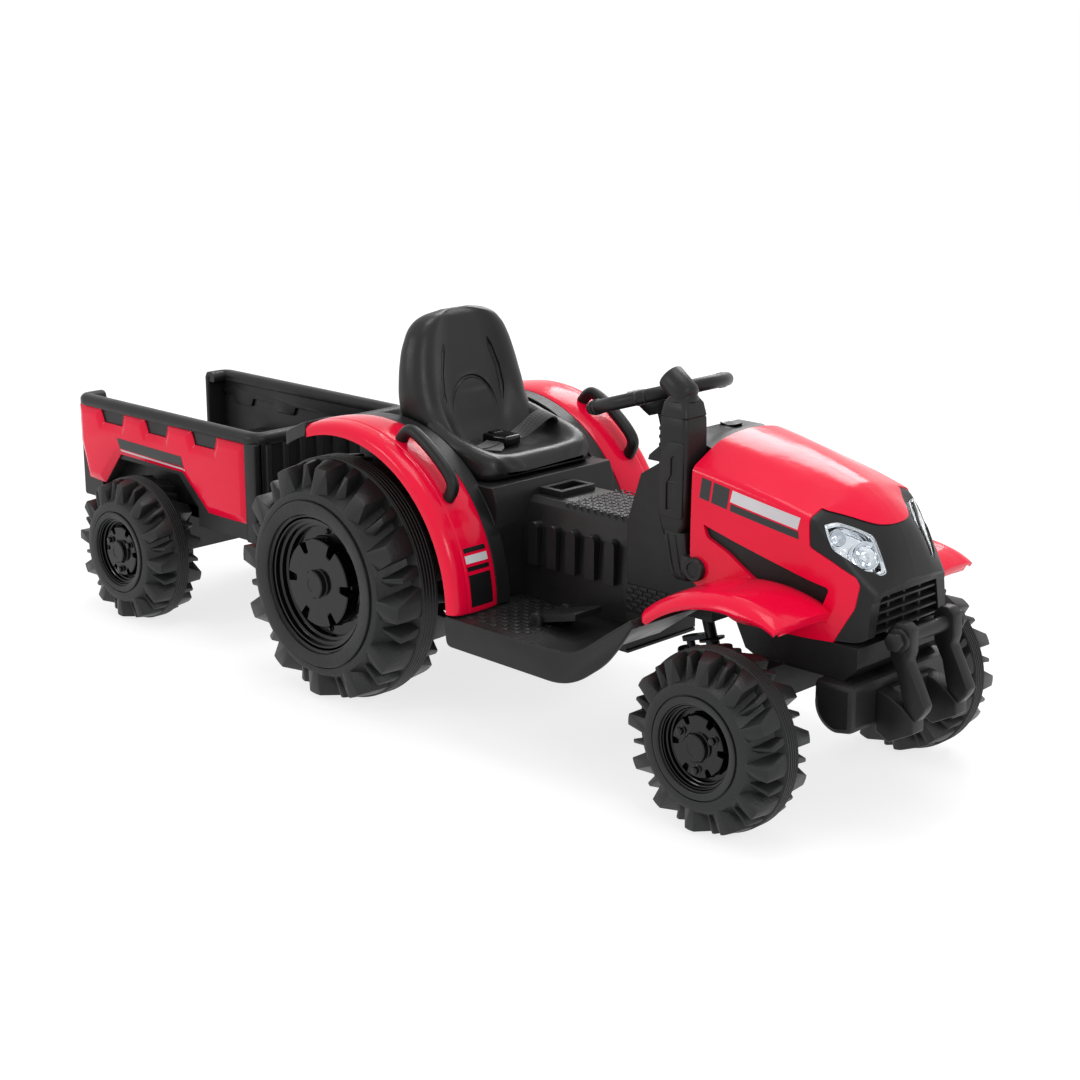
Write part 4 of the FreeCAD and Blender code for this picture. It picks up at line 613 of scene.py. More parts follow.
def rounded(points: Sequence[Pair], radii: Sequence[float], steps: int) -> list[Pair]:
    """Round the inner corners of an open run of points.

    Args:
        points: The run.
        radii: One reach for each inner corner.
        steps: Points on each rounded corner, less one.

    Returns:
        The denser run.
    """
    run = [Vector(points[0])]
    for before, corner, after, radius in zip(points, points[1:], points[2:], radii):
        b, c, a = Vector(before), Vector(corner), Vector(after)
        reach = min(radius, (b - c).length * 0.48, (a - c).length * 0.48)
        start = c + (b - c).normalized() * reach
        end = c + (a - c).normalized() * reach
        for k in range(steps + 1):
            t = k / steps
            run.append(start * (1 - t) ** 2 + c * 2 * t * (1 - t) + end * t * t)
    run.append(Vector(points[-1]))
    return [tuple(p) for p in run]


def round_loop(points: Sequence[Pair], radius: float, steps: int) -> list[Pair]:
    """Round every corner of a closed outline but its first."""
    return rounded([*points, points[0]], [radius] * (len(points) - 1), steps)[:-1]


def mirrored(half: list[Triple]) -> list[Triple]:
    """Close a run from the middle plane and back to it with its mirror image."""
    return half + [(x, -y, z) for x, y, z in reversed(half[1:-1])]


def tangents(points: Sequence[Vector]) -> list[Vector]:
    """The direction of a path at each of its points."""
    last = len(points) - 1
    return [(points[min(k + 1, last)] - points[max(k - 1, 0)]).normalized() for k in range(last + 1)]


def ease(path: Iterable[Sequence[float]]) -> list[Vector]:
    """Cut the corners of a path three times, keeping its ends."""
    points = [Vector(point) for point in path]
    for _ in range(3):
        inner = [p.lerp(q, t) for p, q in zip(points, points[1:]) for t in (0.25, 0.75)]
        points = [points[0], *inner, points[-1]]
    return points


def relax(rings: list, times: int) -> list:
    """Smooth a row of runs along its length.

    Args:
        rings: Runs with the same number of points.
        times: How often.

    Returns:
        The smoothed row with its first and last run kept.
    """
    for _ in range(times):
        inner = [[tuple((p + 2 * q + r) / 4 for p, q, r in zip(a, b, c)) for a, b, c in zip(low, ring, high)]
                 for low, ring, high in zip(rings, rings[1:], rings[2:])]
        rings = [rings[0], *inner, rings[-1]]
    return rings


def slab(name: str, outline: Sequence[Pair], start: float, end: float, plane: str = "XZ",
         edge: float = 0.0, segments: int = 2, sharp: float = 38.0, side: Side = Side.LEFT,
         finish: Finish = Finish.BLACK) -> Piece:
    """A piece of one outline and an even thickness, with its edges rounded.

    Args:
        name: The piece's name.
        outline: Points in the plane.
        start: Offset of the first face.
        end: Offset of the second face.
        plane: The two letters of the plane.
        edge: How far each edge is cut back.
        segments: Facets across an edge.
        sharp: Edges sharper than this many degrees are shaded sharp.
        side: The side that a piece made for the left is mirrored to.
        finish: Its finish.

    Returns:
        The piece.
    """
    shape = Shape(name).prism(outline, start, end, plane)
    if edge:
        shape.round_edges(edge, segments)
    return shape.flip_to(side).object(sharp, finish)


def drop(obj: Piece) -> None:
    """Remove an object with its mesh."""
    mesh = obj.data
    bpy.data.objects.remove(obj)
    bpy.data.meshes.remove(mesh)


def bake(obj: Piece) -> Piece:
    """Turn an object's modifiers into plain mesh.

    Args:
        obj: The object.

    Returns:
        The object with its final mesh.
    """
    graph = bpy.context.evaluated_depsgraph_get()
    mesh = bpy.data.meshes.new_from_object(obj.evaluated_get(graph))
    old = obj.data
    obj.modifiers.clear()
    obj.data = mesh
    mesh.name = obj.name
    bpy.data.meshes.remove(old)
    return obj


def run_tree(obj: Piece, tree: Tree, inputs: dict) -> Piece:
    """Put a node tree on an object, set its named inputs and turn the result into plain mesh.

    Args:
        obj: The object that carries the tree.
        tree: The tree.
        inputs: Input names to values.

    Returns:
        The object with its final mesh.
    """
    modifier = obj.modifiers.new(tree.name, "NODES")
    modifier.node_group = tree
    for item in tree.interface.items_tree:
        if item.in_out == "INPUT" and item.name in inputs:
            modifier[item.identifier] = inputs[item.name]
    return bake(obj)


def shade(obj: Piece, sharp: float = 32.0) -> Piece:
    """Shade a piece smooth except at edges sharper than an angle in degrees."""
    obj.data.shade_smooth()
    obj.data.set_sharp_from_angle(angle=radians(sharp))
    return obj


def chamfer(obj: Piece, width: float, segments: int, angle: float) -> Piece:
    """Round a piece's sharp edges and turn the result into plain mesh.

    Args:
        obj: The piece.
        width: The rounding in millimetres.
        segments: Facets across it.
        angle: Edges sharper than this many degrees are rounded.

    Returns:
        The piece.
    """
    bevel = obj.modifiers.new("edges", "BEVEL")
    bevel.width = width * MM
    bevel.segments = segments
    bevel.limit_method = "ANGLE"
    bevel.angle_limit = radians(angle)
    return shade(bake(obj))


def boolean(obj: Piece, cutter: Piece, operation: str = "DIFFERENCE") -> Piece:
    """Cut a piece with a cutter, or keep what both share, and drop the cutter.

    Args:
        obj: The piece.
        cutter: A closed mesh.
        operation: DIFFERENCE or INTERSECT.

    Returns:
        The piece with its new mesh.
    """
    modifier = obj.modifiers.new("cut", "BOOLEAN")
    modifier.solver = "EXACT"
    modifier.operation = operation
    modifier.object = cutter
    bake(obj)
    drop(cutter)
    return obj


def merge(objects: Sequence[Piece], name: str) -> Piece:
    """Join objects of one finish into the first one's mesh.

    Args:
        objects: The objects, all at the origin.
        name: The name of the result.

    Returns:
        The joined object.
    """
    bm = bmesh.new()
    for obj in objects:
        bm.from_mesh(obj.data)
    first = objects[0]
    bm.to_mesh(first.data)
    bm.free()
    for obj in objects[1:]:
        drop(obj)
    first.name = name
    first.data.name = name
    return first


def deliver(obj: Piece, *nodes: str, body: str = "chassis", slot: str = "black_plastic") -> None:
    """Let a finished piece ride on a body and hide the CAD nodes that it stands for.

    Args:
        obj: The piece.
        *nodes: CAD nodes that it replaces.
        body: The body that carries it.
        slot: The record's material slot; not used.
    """
    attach(obj, body)
    if nodes:
        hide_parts(*nodes)
    LOG.info("%s rides on %s with %d faces", obj.name, body, len(obj.data.polygons))


def quad_rows(corners: Sequence[Triple], across: int, along: int) -> list[list[Triple]]:
    """Rows of points that fill a four-cornered patch.

    Args:
        corners: Start low, end low, end high and start high.
        across: Rows from low to high, less one.
        along: Points in a row, less one.

    Returns:
        The rows from low to high.
    """
    a, b, c, d = (Vector(corner) for corner in corners)
    rows = []
    for i in range(across + 1):
        first, last = a.lerp(d, i / across), b.lerp(c, i / across)
        rows.append([tuple(first.lerp(last, k / along)) for k in range(along + 1)])
    return rows


@dataclass
class Films:
    """Thin printed films on an assembly, joined by colour."""

    name: str
    body: str
    proud: float = 0.25
    laid: dict[Finish, list[Piece]] = field(
        default_factory=lambda: {Finish.STRIPE: [], Finish.STRIPE_PALE: []})

    def lay(self, rows: Sequence[Sequence[Triple]], toward: Triple, target: Piece, finish: Finish) -> None:
        """Lay one film on a piece.

        Args:
            rows: Rows of points off the piece.
            toward: The direction in which the film meets the piece.
            target: The piece.
            finish: The film's finish.
        """
        tree = BVHTree.FromObject(target, bpy.context.evaluated_depsgraph_get())
        direction = Vector(toward).normalized()
        origin = Vector((REAR_AXLE_X, 0, 0))
        rings = []
        for row in rows:
            top, foot = [], []
            for point in row:
                spot, normal, _, _ = tree.ray_cast(at(*point), direction)
                if spot is None:
                    spot, normal, _, _ = tree.find_nearest(at(*point))
                if normal.dot(direction) > 0:
                    normal = -normal
                top.append(tuple((spot + normal * self.proud * MM) / MM - origin))
                foot.append(tuple((spot - normal * self.proud * MM) / MM - origin))
            rings.append(top + list(reversed(foot)))
        self.laid[finish].append(Shape(self.name).loft(rings).object(50, finish))

    def deliver(self) -> None:
        """Join the dark films and the pale ones, and deliver both."""
        dark, pale = self.laid.values()
        deliver(merge(dark, f"{self.name}_dark"), body=self.body)
        deliver(merge(pale, f"{self.name}_pale"), body=self.body, slot="grey_plastic")


# Studio

@dataclass
class Studio:
    """White sweep, soft boxes and the camera at the photograph's viewing angle."""

    eye: Triple = (1.8129, -1.7742, 0.87662)
    azimuth: float = 44.07
    elevation: float = 15.34
    lens: float = 70.02
    floor_reach: float = 150.0
    floor_grey: float = 0.30
    floor_glow: float = 0.76
    fill: float = 0.82
    # Soft boxes: name, place, aim, size and power
    boxes: tuple = (
        ("back_box", (-1.1, 2.5, 2.4), (0.3, 0.0, 0.3), 1.6, 50.0),
        ("top_box", (0.4, 0.2, 3.4), (0.1, 0.0, 0.2), 1.6, 34.0),
        ("front_box", (3.6, -1.4, 1.9), (0.3, 0.0, 0.25), 0.9, 22.0),
        ("side_box", (-1.8, -3.6, 2.0), (-0.2, 0.0, 0.25), 1.0, 24.0))

    def build(self) -> None:
        """Make the camera, the floor, the lamps and the world."""
        self.add_camera()
        self.add_floor()
        self.add_lamps()
        self.add_world()
        bpy.context.scene.view_settings.view_transform = "Standard"

    @staticmethod
    def hang(data: bpy.types.ID, place: Triple, look: Vector) -> bpy.types.Object:
        """Put a camera or a lamp in its place.

        Args:
            data: The camera's or the lamp's data.
            place: Where it stands.
            look: Where it looks, as a direction.

        Returns:
            The object, linked to the scene.
        """
        obj = bpy.data.objects.new(data.name, data)
        obj.location = place
        obj.rotation_euler = look.to_track_quat("-Z", "Y").to_euler()
        bpy.context.scene.collection.objects.link(obj)
        return obj

    def add_camera(self) -> None:
        """Aim a long lens down at the tractor's front quarter."""
        data = bpy.data.cameras.new("camera")
        data.lens = self.lens
        data.sensor_width = 36.0
        data.clip_end = 500.0
        a, e = radians(self.azimuth), radians(self.elevation)
        back = Vector((sin(a) * cos(e), -cos(a) * cos(e), sin(e)))
        bpy.context.scene.camera = self.hang(data, self.eye, -back)

    def add_floor(self) -> None:
        """Lay a floor that is white to the eye and still takes the shadows."""
        mesh = bpy.data.meshes.new("floor")
        r = self.floor_reach
        mesh.from_pydata([(x, y, 0) for x, y in rectangle((-r, -r), (r, r))], [], [(0, 1, 2, 3)])
        floor = bpy.data.objects.new("floor", mesh)
        bpy.context.scene.collection.objects.link(floor)
        material = bpy.data.materials.new("white_sweep_paper")
        material.use_nodes = True
        wire(material.node_tree, material.node_tree.nodes["Principled BSDF"], {
            "Base Color": (*[self.floor_grey] * 3, 1.0), "Emission Color": WHITE,
            "Emission Strength": self.floor_glow, "Roughness": 1.0, "Specular IOR Level": 0.0})
        mesh.materials.append(material)
        floor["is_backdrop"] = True

    def add_lamps(self) -> None:
        """Hang a box behind the toy for the gloss on its tops, one over it and two weaker ones beside it."""
        for name, place, aim, size, power in self.boxes:
            data = bpy.data.lights.new(name, "AREA")
            data.energy = power
            data.size = size
            self.hang(data, place, Vector(aim) - Vector(place))

    def add_world(self) -> None:
        """Fill softly from all round; the eye, gloss and glass see plain white."""
        world = bpy.data.worlds.new("studio")
        bpy.context.scene.world = world
        world.use_nodes = True
        tree = world.node_tree
        path = add_node(tree, "ShaderNodeLightPath").outputs
        seen = path["Is Camera Ray"]
        for ray in ("Is Glossy Ray", "Is Transmission Ray"):
            seen = add_node(tree, "ShaderNodeMath", {0: seen, 1: path[ray]}, operation="MAXIMUM").outputs[0]
        strength = add_node(tree, "ShaderNodeMapRange", {"Value": seen, "To Min": self.fill, "To Max": 1.0})
        wire(tree, tree.nodes["Background"], {"Color": WHITE, "Strength": strength.outputs["Result"]})


# Pieces that keep their CAD form

@dataclass
class MouldedNodes:
    """CAD nodes whose form is right: they get their finish and moulded edges."""

    # Edge rounding of each node, by finish
    edges: dict[Finish, dict[str, float]] = field(default_factory=lambda: {
        Finish.BLACK: {
            "seat_base": 4.0, "undertray": 1.0, "fender_tail_caps": 1.4, "accelerator_pedal": 1.2,
            "center_tunnel": 3.0, "cowl": 3.0, "dash_panel": 3.0, "steering_knuckle_left": 0.8,
            "steering_knuckle_right": 0.8, "front_chassis": 1.5, "front_weight": 6.0, "trailer_chassis": 1.5},
        Finish.GREY: {"battery": 1.5, "gear_motors": 1.0},
        Finish.STEEL: {"rear_axle": 0.6, "trailer_axle": 0.6, "hitch_pin": 0.8},
        Finish.BLACK_STEEL: {"steering_column": 0.6, "tie_rod": 0.6},
        Finish.RED_BUTTON: {"power_button": 1.0, "horn_button": 1.2},
        Finish.WHITE_BUTTON: {"music_button": 1.2},
        Finish.GLOSS: {"direction_switch": 0.8}})

    def build(self) -> None:
        """Soften every node that no piece replaces."""
        for finish, widths in self.edges.items():
            for node, width in widths.items():
                soften(node, finish, width)
                LOG.info("%s keeps its CAD form", node)


# Wheels

@cache
def ring_tree() -> Tree:
    """The node tree that repeats its own mesh evenly round a wheel's axle.

    Returns:
        A geometry node tree with named inputs for the count, the centre and the finish.
    """
    tree = new_tree("ring_round_axle", {"Count": "Int", "Centre": "Vector", "Finish": "Material"})
    source = add_node(tree, "NodeGroupInput").outputs
    step = add_node(tree, "ShaderNodeMath", {0: 2 * pi, 1: source["Count"]}, operation="DIVIDE")
    number = add_node(tree, "GeometryNodeInputIndex")
    angle = add_node(tree, "ShaderNodeMath", {0: step.outputs[0], 1: number.outputs[0]}, operation="MULTIPLY")
    turn = add_node(tree, "ShaderNodeCombineXYZ", {"Y": angle.outputs[0]})
    spots = add_node(tree, "GeometryNodePoints", {"Count": source["Count"]})
    copies = add_node(tree, "GeometryNodeInstanceOnPoints", {
        "Points": spots.outputs[0], "Instance": source["Geometry"], "Rotation": turn.outputs[0]})
    moved = add_node(tree, "GeometryNodeTransform", {
        "Geometry": copies.outputs[0], "Translation": source["Centre"]})
    finish_tree(tree, moved, source["Finish"])
    return tree


@dataclass
class LuggedWheel:
    """A blow-moulded wheel: turned carcass, alternating long and short lugs, and a polished stepped cap."""

    kind: str
    side: Side
    # Place of the middle, and how far the hub reaches inwards
    x: float
    y: float
    reach: float
    # Sizes of a front or trailer wheel. Tyre: outer radius, half width, half of the grooved band, then
    # radii and depths from the tread's floor inwards
    radius: float = 99.0
    half: float = 39.0
    band: float = 9.5
    floor: float = 88.0
    sidewall: float = 68.0
    bead: float = 53.0
    ring: float = 47.0
    web: float = 15.0
    back_radius: float = 50.0
    back: float = -17.0
    hub: float = 16.0
    # Cap: lip, disc, boss and the notches in the disc's rim
    lip: float = 40.8
    disc: float = 34.0
    disc_top: float = 33.0
    boss: float = 15.0
    boss_top: float = 40.2
    notch: float = 8.0
    notch_half: float = 3.8
    nuts: int = 3
    nut_ring: float = 25.0
    nut_size: float = 4.4
    lugs: int = 12
    facets: int = 144
    # Lug sections from the band outwards: share of the run, drop, half top, half foot and lean
    long_shares: tuple = (
        (0.0, 0.0, 0.235, 0.285, 0.0), (0.86, 0.12, 0.13, 0.25, 0.15), (1.0, 0.97, 0.07, 0.13, 0.045))
    short_shares: tuple = (
        (0.0, 0.02, 0.085, 0.135, 0.0), (0.60, 0.11, 0.045, 0.125, 0.11), (0.80, 0.80, 0.02, 0.07, 0.075))

    def build(self) -> None:
        """Make the tyre and the cap."""
        self.make_tyre()
        self.make_cap()

    def deliver(self, part: str, base: Piece, mark: Piece, count: int, look: str, slot: str) -> None:
        """Ring a piece with a mark, join both and replace the CAD node.

        Args:
            part: The node's name without the wheel's.
            base: The piece.
            mark: One mark round the frame's origin.
            count: Marks round the axle.
            look: The ending of the joined piece's name.
            slot: The record's material slot.
        """
        node = f"{self.kind}_{part}_{self.side.word}"
        ring = run_tree(mark, ring_tree(), {
            "Count": count, "Centre": at(self.x, self.y * self.side.value, self.radius),
            "Finish": base.data.materials[0]})
        deliver(merge((base, ring), f"{node}_{look}"), node, body=f"{self.kind}_wheel_{self.side.word}",
                slot=slot)

    def carcass(self) -> list[Pair]:
        """The tyre's section as radius and distance outwards.

        Returns:
            A closed run of points.
        """
        r, h, b = self.radius, self.half, self.band
        groove = b / 5.5
        ridge = []
        for k in range(-5, 6):
            dip = 0.9 if k % 2 else 0.0
            ridge += [(r - dip, -(k - 0.32) * groove), (r - dip, -(k + 0.32) * groove)]
        step = r - 0.22 * (r - self.floor)
        outer = [(self.ring, self.web + 2), (self.ring, self.lip - 3.2), (self.ring + 0.9, self.lip - 0.9),
                 (self.ring + 3.0, self.lip), (self.bead + 1.2, self.lip), (self.bead + 2.2, self.lip - 0.9),
                 (self.bead + 2.5, h - 1.6), (self.bead + 3.6, h - 1.6), (self.bead + 4.2, h - 0.1),
                 (self.bead + 6, h), (self.sidewall - 2, h), (self.sidewall + 1, h - 1.0)]
        cone = [(self.sidewall + (self.floor - self.sidewall) * s, h - 1.0 - (h - b - 1.5) * s)
                for s in (0.25, 0.5, 0.75, 0.97)]
        crown = [(step - 0.8, b + 0.4), (step + 1.2, b - 0.2), (r - 0.7, b - 0.5)]
        far = [(radius, -axial) for radius, axial in reversed(cone + crown)]
        inner = [(self.sidewall + 1, 1.0 - h), (self.sidewall - 2, -h), (self.back_radius + 2, -h),
                 (self.back_radius, 2 - h), (self.back_radius - 3, self.back - 3),
                 (self.back_radius - 6, self.back), (self.hub + 3, self.back), (self.hub, self.back - 3),
                 (self.hub, -self.reach), (6.1, -self.reach), (6.1, self.web)]
        return outer + cone + crown + ridge + far + inner

    def lug(self, shape: Shape, shares: Sequence, turn: float, face: int) -> None:
        """Add one lug to a shape round the zero point.

        Args:
            shape: The shape to add to.
            shares: The lug's sections.
            turn: Where its foot starts round the axle, as a share of the pitch.
            face: One for the outer half of the tread, minus one for the inner.
        """
        pitch = 2 * pi / self.lugs
        rings = []
        for along, dip, top, foot, lean in shares:
            y = (self.band - 0.6 + (self.half + 0.2 - self.band) * along) * face
            high = self.radius - 0.14 * (self.radius - self.floor) - (self.radius - self.sidewall - 2) * dip
            low = self.floor - 4 + (self.sidewall - self.floor) * along
            middle = (turn - lean) * pitch
            points = []
            for width, reach in ((-foot, low), (-top, high), (-top * 0.35, high + 0.4),
                                 (top * 0.35, high + 0.4), (top, high), (foot, low)):
                angle = middle + width * pitch
                points.append((reach * cos(angle), y, reach * sin(angle)))
            rings.append(points)
        shape.loft(rings)

    def make_tyre(self) -> None:
        """Turn the carcass, ring it with lugs and replace the CAD tyre."""
        body = Shape("carcass").turn(self.carcass(), (self.x, self.y, self.radius), self.facets)
        pair = Shape("lugs")
        for face, stagger in ((1, 0.0), (-1, 0.5)):
            self.lug(pair, self.long_shares, stagger, face)
            self.lug(pair, self.short_shares, stagger + 0.5, face)
        pair.round_edges(self.radius * 0.007, 2, 16).flip_to(self.side).to_origin()
        self.deliver("tyre", body.flip_to(self.side).object(30, Finish.TYRE), pair.object(22, Finish.TYRE),
                     self.lugs, "moulded", "tyre")

    def recess(self) -> float:
        """How far out the recess round the disc lies."""
        return self.web + (self.disc_top - self.web) * 0.32

    def cap_profile(self, cut: float) -> list[Pair]:
        """The cap's section as radius and distance outwards.

        Args:
            cut: How far the disc's rim is notched here, from 0 to 1.

        Returns:
            A closed run of points from the middle outwards and back under the rim.
        """
        d, t, w = self.disc - self.notch * cut, self.disc_top, self.web
        deep = self.recess()
        rise = self.lip - deep
        span = self.ring - self.disc
        edge = self.disc + span * 0.42
        points = [(0.02, self.boss_top - 0.8), (self.boss * 0.5, self.boss_top - 0.8),
                  (self.boss * 0.56, self.boss_top), (self.boss - 1.2, self.boss_top),
                  (self.boss, self.boss_top - 1.2), (self.boss + 0.6, t + 0.8), (self.boss + 1.6, t),
                  (d - 1.2, t), (d, t - 1.0), (d + 0.6, deep + 1.0), (d + 1.6, deep), (edge, deep)]
        for step, height in enumerate((0.24, 0.48, 0.72, 0.80)):
            out = edge + (self.ring - edge) * (step + 0.5) / 4
            up = deep + rise * height
            points += [(out - span * 0.055, up - rise * 0.20), (out - span * 0.02, up),
                       (out + span * 0.04, up + 0.3)]
        points += [(self.ring + 1.0, self.lip - 3.0), (self.bead - 1, self.lip - 3.0), (self.bead - 1, w + 3),
                   (self.disc, w + 1), (0.02, w + 1)]
        return points

    def make_cap(self) -> None:
        """Shape the notched cap with its bolts and replace the CAD cap."""
        wide = degrees(self.notch_half / self.disc)
        sector = ((-30, 0), (-22, 0), (-14, 0), (-wide - 2.0, 0), (-wide - 0.6, 0), (-wide + 0.3, 0.9),
                  (-wide * 0.6, 1), (0, 1), (wide * 0.6, 1), (wide - 0.3, 0.9), (wide + 0.6, 0),
                  (wide + 2.0, 0), (14, 0), (22, 0))
        rings = []
        for start in range(0, 360, 60):
            for bearing, cut in sector:
                c, s = cos(radians(start + bearing)), sin(radians(start + bearing))
                rings.append([(self.x + radius * c, self.y + axial, self.radius + radius * s)
                              for radius, axial in self.cap_profile(cut)])
        shape = Shape("cap").loft(rings, loop=True)
        bmesh.ops.remove_doubles(shape.bm, verts=shape.bm.verts, dist=0.05)
        self.deliver("hubcap", shape.flip_to(self.side).object(34, Finish.GLOSS), self.bolt(), self.nuts,
                     "polished", "black_gloss")

    def bolt(self) -> Piece:
        """One nut on its washer, beside the first notch, on the disc or in the recess round it.

        Returns:
            The nut round the frame's origin.
        """
        size = self.nut_size
        base = self.disc_top if self.nut_ring < self.disc else self.recess()
        shape = Shape("bolt").prism(circle(size, 6), base - 0.5, base + size * 1.1).round_edges(size * 0.16)
        shape.turn([(0.02, base - 0.5), (size * 1.35, base - 0.5), (size * 1.3, base + 0.5),
                    (size * 1.15, base + 0.9), (0.02, base + 0.9)], (0, 0, 0), 20)
        angle = radians(30)
        shape.move(shift=(self.nut_ring * cos(angle), 0, self.nut_ring * sin(angle)))
        return shape.to_origin().flip_to(self.side).object(34, Finish.GLOSS)


# Bonnet, nose and headlights

@dataclass
class Bonnet:
    """Glossy red bonnet with recessed side vents, black nose, grille and headlights."""

    # Stations: x, then half width and height at the sill, side crease and shoulder, and the crown's height
    stations: tuple = (
        (497.3, 98, 236.8, 97, 359.2, 55, 383.6, 387.5), (520, 98, 222.0, 96.6, 356.0, 54, 379.4, 383.5),
        (558, 97.6, 201.0, 95.6, 349.6, 51, 371.6, 376.2), (605, 93.5, 201.0, 93.0, 340.6, 46, 359.4, 364.2),
        (651, 88, 201.0, 89.4, 329.0, 40, 345.2, 350.4), (678, 81, 201.0, 82.0, 300.0, 35, 329.5, 334.6),
        (700, 74.5, 201.0, 73.0, 270.0, 31, 311.0, 315.0), (712, 72, 206.0, 66.0, 261.0, 30, 288.0, 291.0),
        (719.6, 70, 214.0, 58.6, 255.0, 29, 263.0, 264.6))
    # Side outlines of the nose and the vents, as X and Z
    nose_side: tuple = (
        (646.5, 336.0), (690, 318.5), (751, 302), (751, 191), (671, 191), (697.5, 240), (700.5, 264),
        (696, 272), (673, 286.5), (649, 299))
    vent_side: tuple = (
        (515.5, 300), (519, 287), (548, 275), (584, 252), (640, 228), (657.5, 219.5), (671.5, 258))
    # The lamp's outline inwards and upwards in its own plane, the plane's middle and its direction
    lamp_outline: tuple = (
        (-20, 38), (-6, 36.5), (14, 21), (26, 9), (25.5, -12), (23.5, -32), (17, -32.5), (4, -25),
        (-13, -4), (-23, 10), (-23, 26))
    lamp_centre: Triple = (685.8, 60.8, 294.8)
    lamp_face: Triple = (0.753, 0.48, 0.449)
    # Lamp pieces as scale of the outline and height over the plane, and the bowl as share of its radius
    tray: tuple = ((0.90, -4.0), (0.84, -8.0), (0.78, -13.0), (0.78, -15.5), (0.90, -15.5))
    bezel: tuple = ((0.985, -0.8), (0.93, -0.6), (0.85, -2.0), (0.82, -4.6), (0.84, -6.0), (0.985, -6.0))
    bowl: tuple = (
        (1.0, -2.2), (0.93, -2.0), (0.86, -4.5), (0.62, -8.5), (0.32, -10.5), (0.30, -6.5), (0.2, -5.2),
        (0.03, -4.8), (0.03, -12.5), (1.0, -12.5))
    cover_outside: tuple = ((0.985, -0.6), (0.985, 1.2), (0.93, 2.2), (0.55, 3.0), (0.2, 3.2))
    cover_inside: tuple = ((0.2, 1.7), (0.55, 1.5), (0.93, 0.7), (0.95, -0.6))
    # Films along the side crease: corners as X and share of the height, then rows and points in a row
    films: tuple = (
        (Finish.STRIPE, ((508, 0), (521, 0), (524, 1), (511, 1)), 6, 8),
        (Finish.STRIPE, ((524, 0), (545, 0), (548, 1), (527, 1)), 6, 8),
        (Finish.STRIPE_PALE, ((549, 0.42), (634, 0.42), (637, 1), (552, 1)), 5, 20),
        (Finish.STRIPE, ((549, 0), (636, 0), (635, 0.34), (550, 0.34)), 3, 20))

    def section(self, x: float, grow: float) -> list[Pair]:
        """The bonnet's closed section at a station, as Y and Z.

        Args:
            x: The station.
            grow: How far the section is moved outwards.

        Returns:
            The points, starting at the left sill.
        """
        rows = self.stations
        x = min(max(x, rows[0][0]), rows[-1][0])
        low, high = next((a, b) for a, b in zip(rows, rows[1:]) if x <= b[0])
        t = (x - low[0]) / (high[0] - low[0])
        _, sill, sill_z, side, side_z, top, top_z, crown = (a + (b - a) * t for a, b in zip(low, high))
        half = [(sill + grow, sill_z - grow), ((sill + side) / 2 + 1.2 + grow, (sill_z + side_z) / 2),
                (side + grow, side_z + grow * 0.4), (top * 0.96 + grow * 0.4, top_z - 1.6 + grow),
                (top * 0.42, crown - 0.9 + grow), (0.0, crown + grow)]
        curve = rounded(half, (30, 7, 20, 14), 6)
        run = [curve[0]]
        # Each straight stretch before a rounded corner gets points of its own
        spots = (0, 7, 14, 21, 28, len(curve) - 1)
        for first, last, count in zip(spots, spots[1:], (9, 10, 7, 5, 4)):
            ends = list(zip(curve[first], curve[first + 1]))
            run += [tuple(a + (b - a) * k / count for a, b in ends) for k in range(1, count)]
            run += curve[first + 1:last + 1]
        return run + [(-y, z) for y, z in reversed(run[:-1])]

    def solid(self, name: str, grow: float, finish: Finish) -> Piece:
        """The whole bonnet and nose as one closed mesh.

        Args:
            name: The mesh's name.
            grow: How far it is moved outwards.
            finish: Its finish.

        Returns:
            The object.
        """
        count = 64
        first, last = self.stations[0][0], self.stations[-1][0]
        stations = [first + (last - first) * k / count for k in range(count + 1)]
        rings = relax([self.section(x, grow) for x in stations], 5)
        placed = [[(x, y, z) for y, z in ring] for x, ring in zip(stations, rings)]
        return Shape(name).loft(placed).object(finish=finish)

    @staticmethod
    def grown(outline: Sequence[Pair], middle: Pair, grow: float, radius: float, steps: int) -> list[Pair]:
        """An outline moved away from a point in its middle, with its corners rounded.

        Args:
            outline: The outline.
            middle: The point.
            grow: How far it is moved outwards.
            radius: The reach of each rounded corner.
            steps: Points on it, less one.

        Returns:
            The new outline.
        """
        centre = Vector(middle)
        moved = [tuple(Vector(p) + (Vector(p) - centre).normalized() * grow) for p in outline]
        return round_loop(moved, radius, steps)

    def nose_cutter(self, grow: float) -> Piece:
        """The slab that parts the nose from the bonnet."""
        return slab("nose_cutter", self.grown(self.nose_side, (690, 260), grow, 3, 4), -120, 120)

    def vent_cutter(self, side: Side, near: float, grow: float) -> Piece:
        """The slab that cuts one side vent, from a distance off the middle outwards."""
        return slab("vent_cutter", self.grown(self.vent_side, (600, 262), grow, 5, 5), near, 125, side=side)

    def lamp_frame(self, side: Side) -> tuple[Vector, Vector, Vector, Vector]:
        """The lamp's place.

        Args:
            side: The side of the tractor.

        Returns:
            Its centre, its inward and upward directions and its face's direction.
        """
        flip = Vector((1, side.value, 1))
        face = (Vector(self.lamp_face) * flip).normalized()
        inward = Vector((0, -side.value, 0))
        inward = (inward - face * inward.dot(face)).normalized()
        up = Vector((-face.z, 0, face.x)).normalized()
        return Vector(self.lamp_centre) * flip, inward, up, face

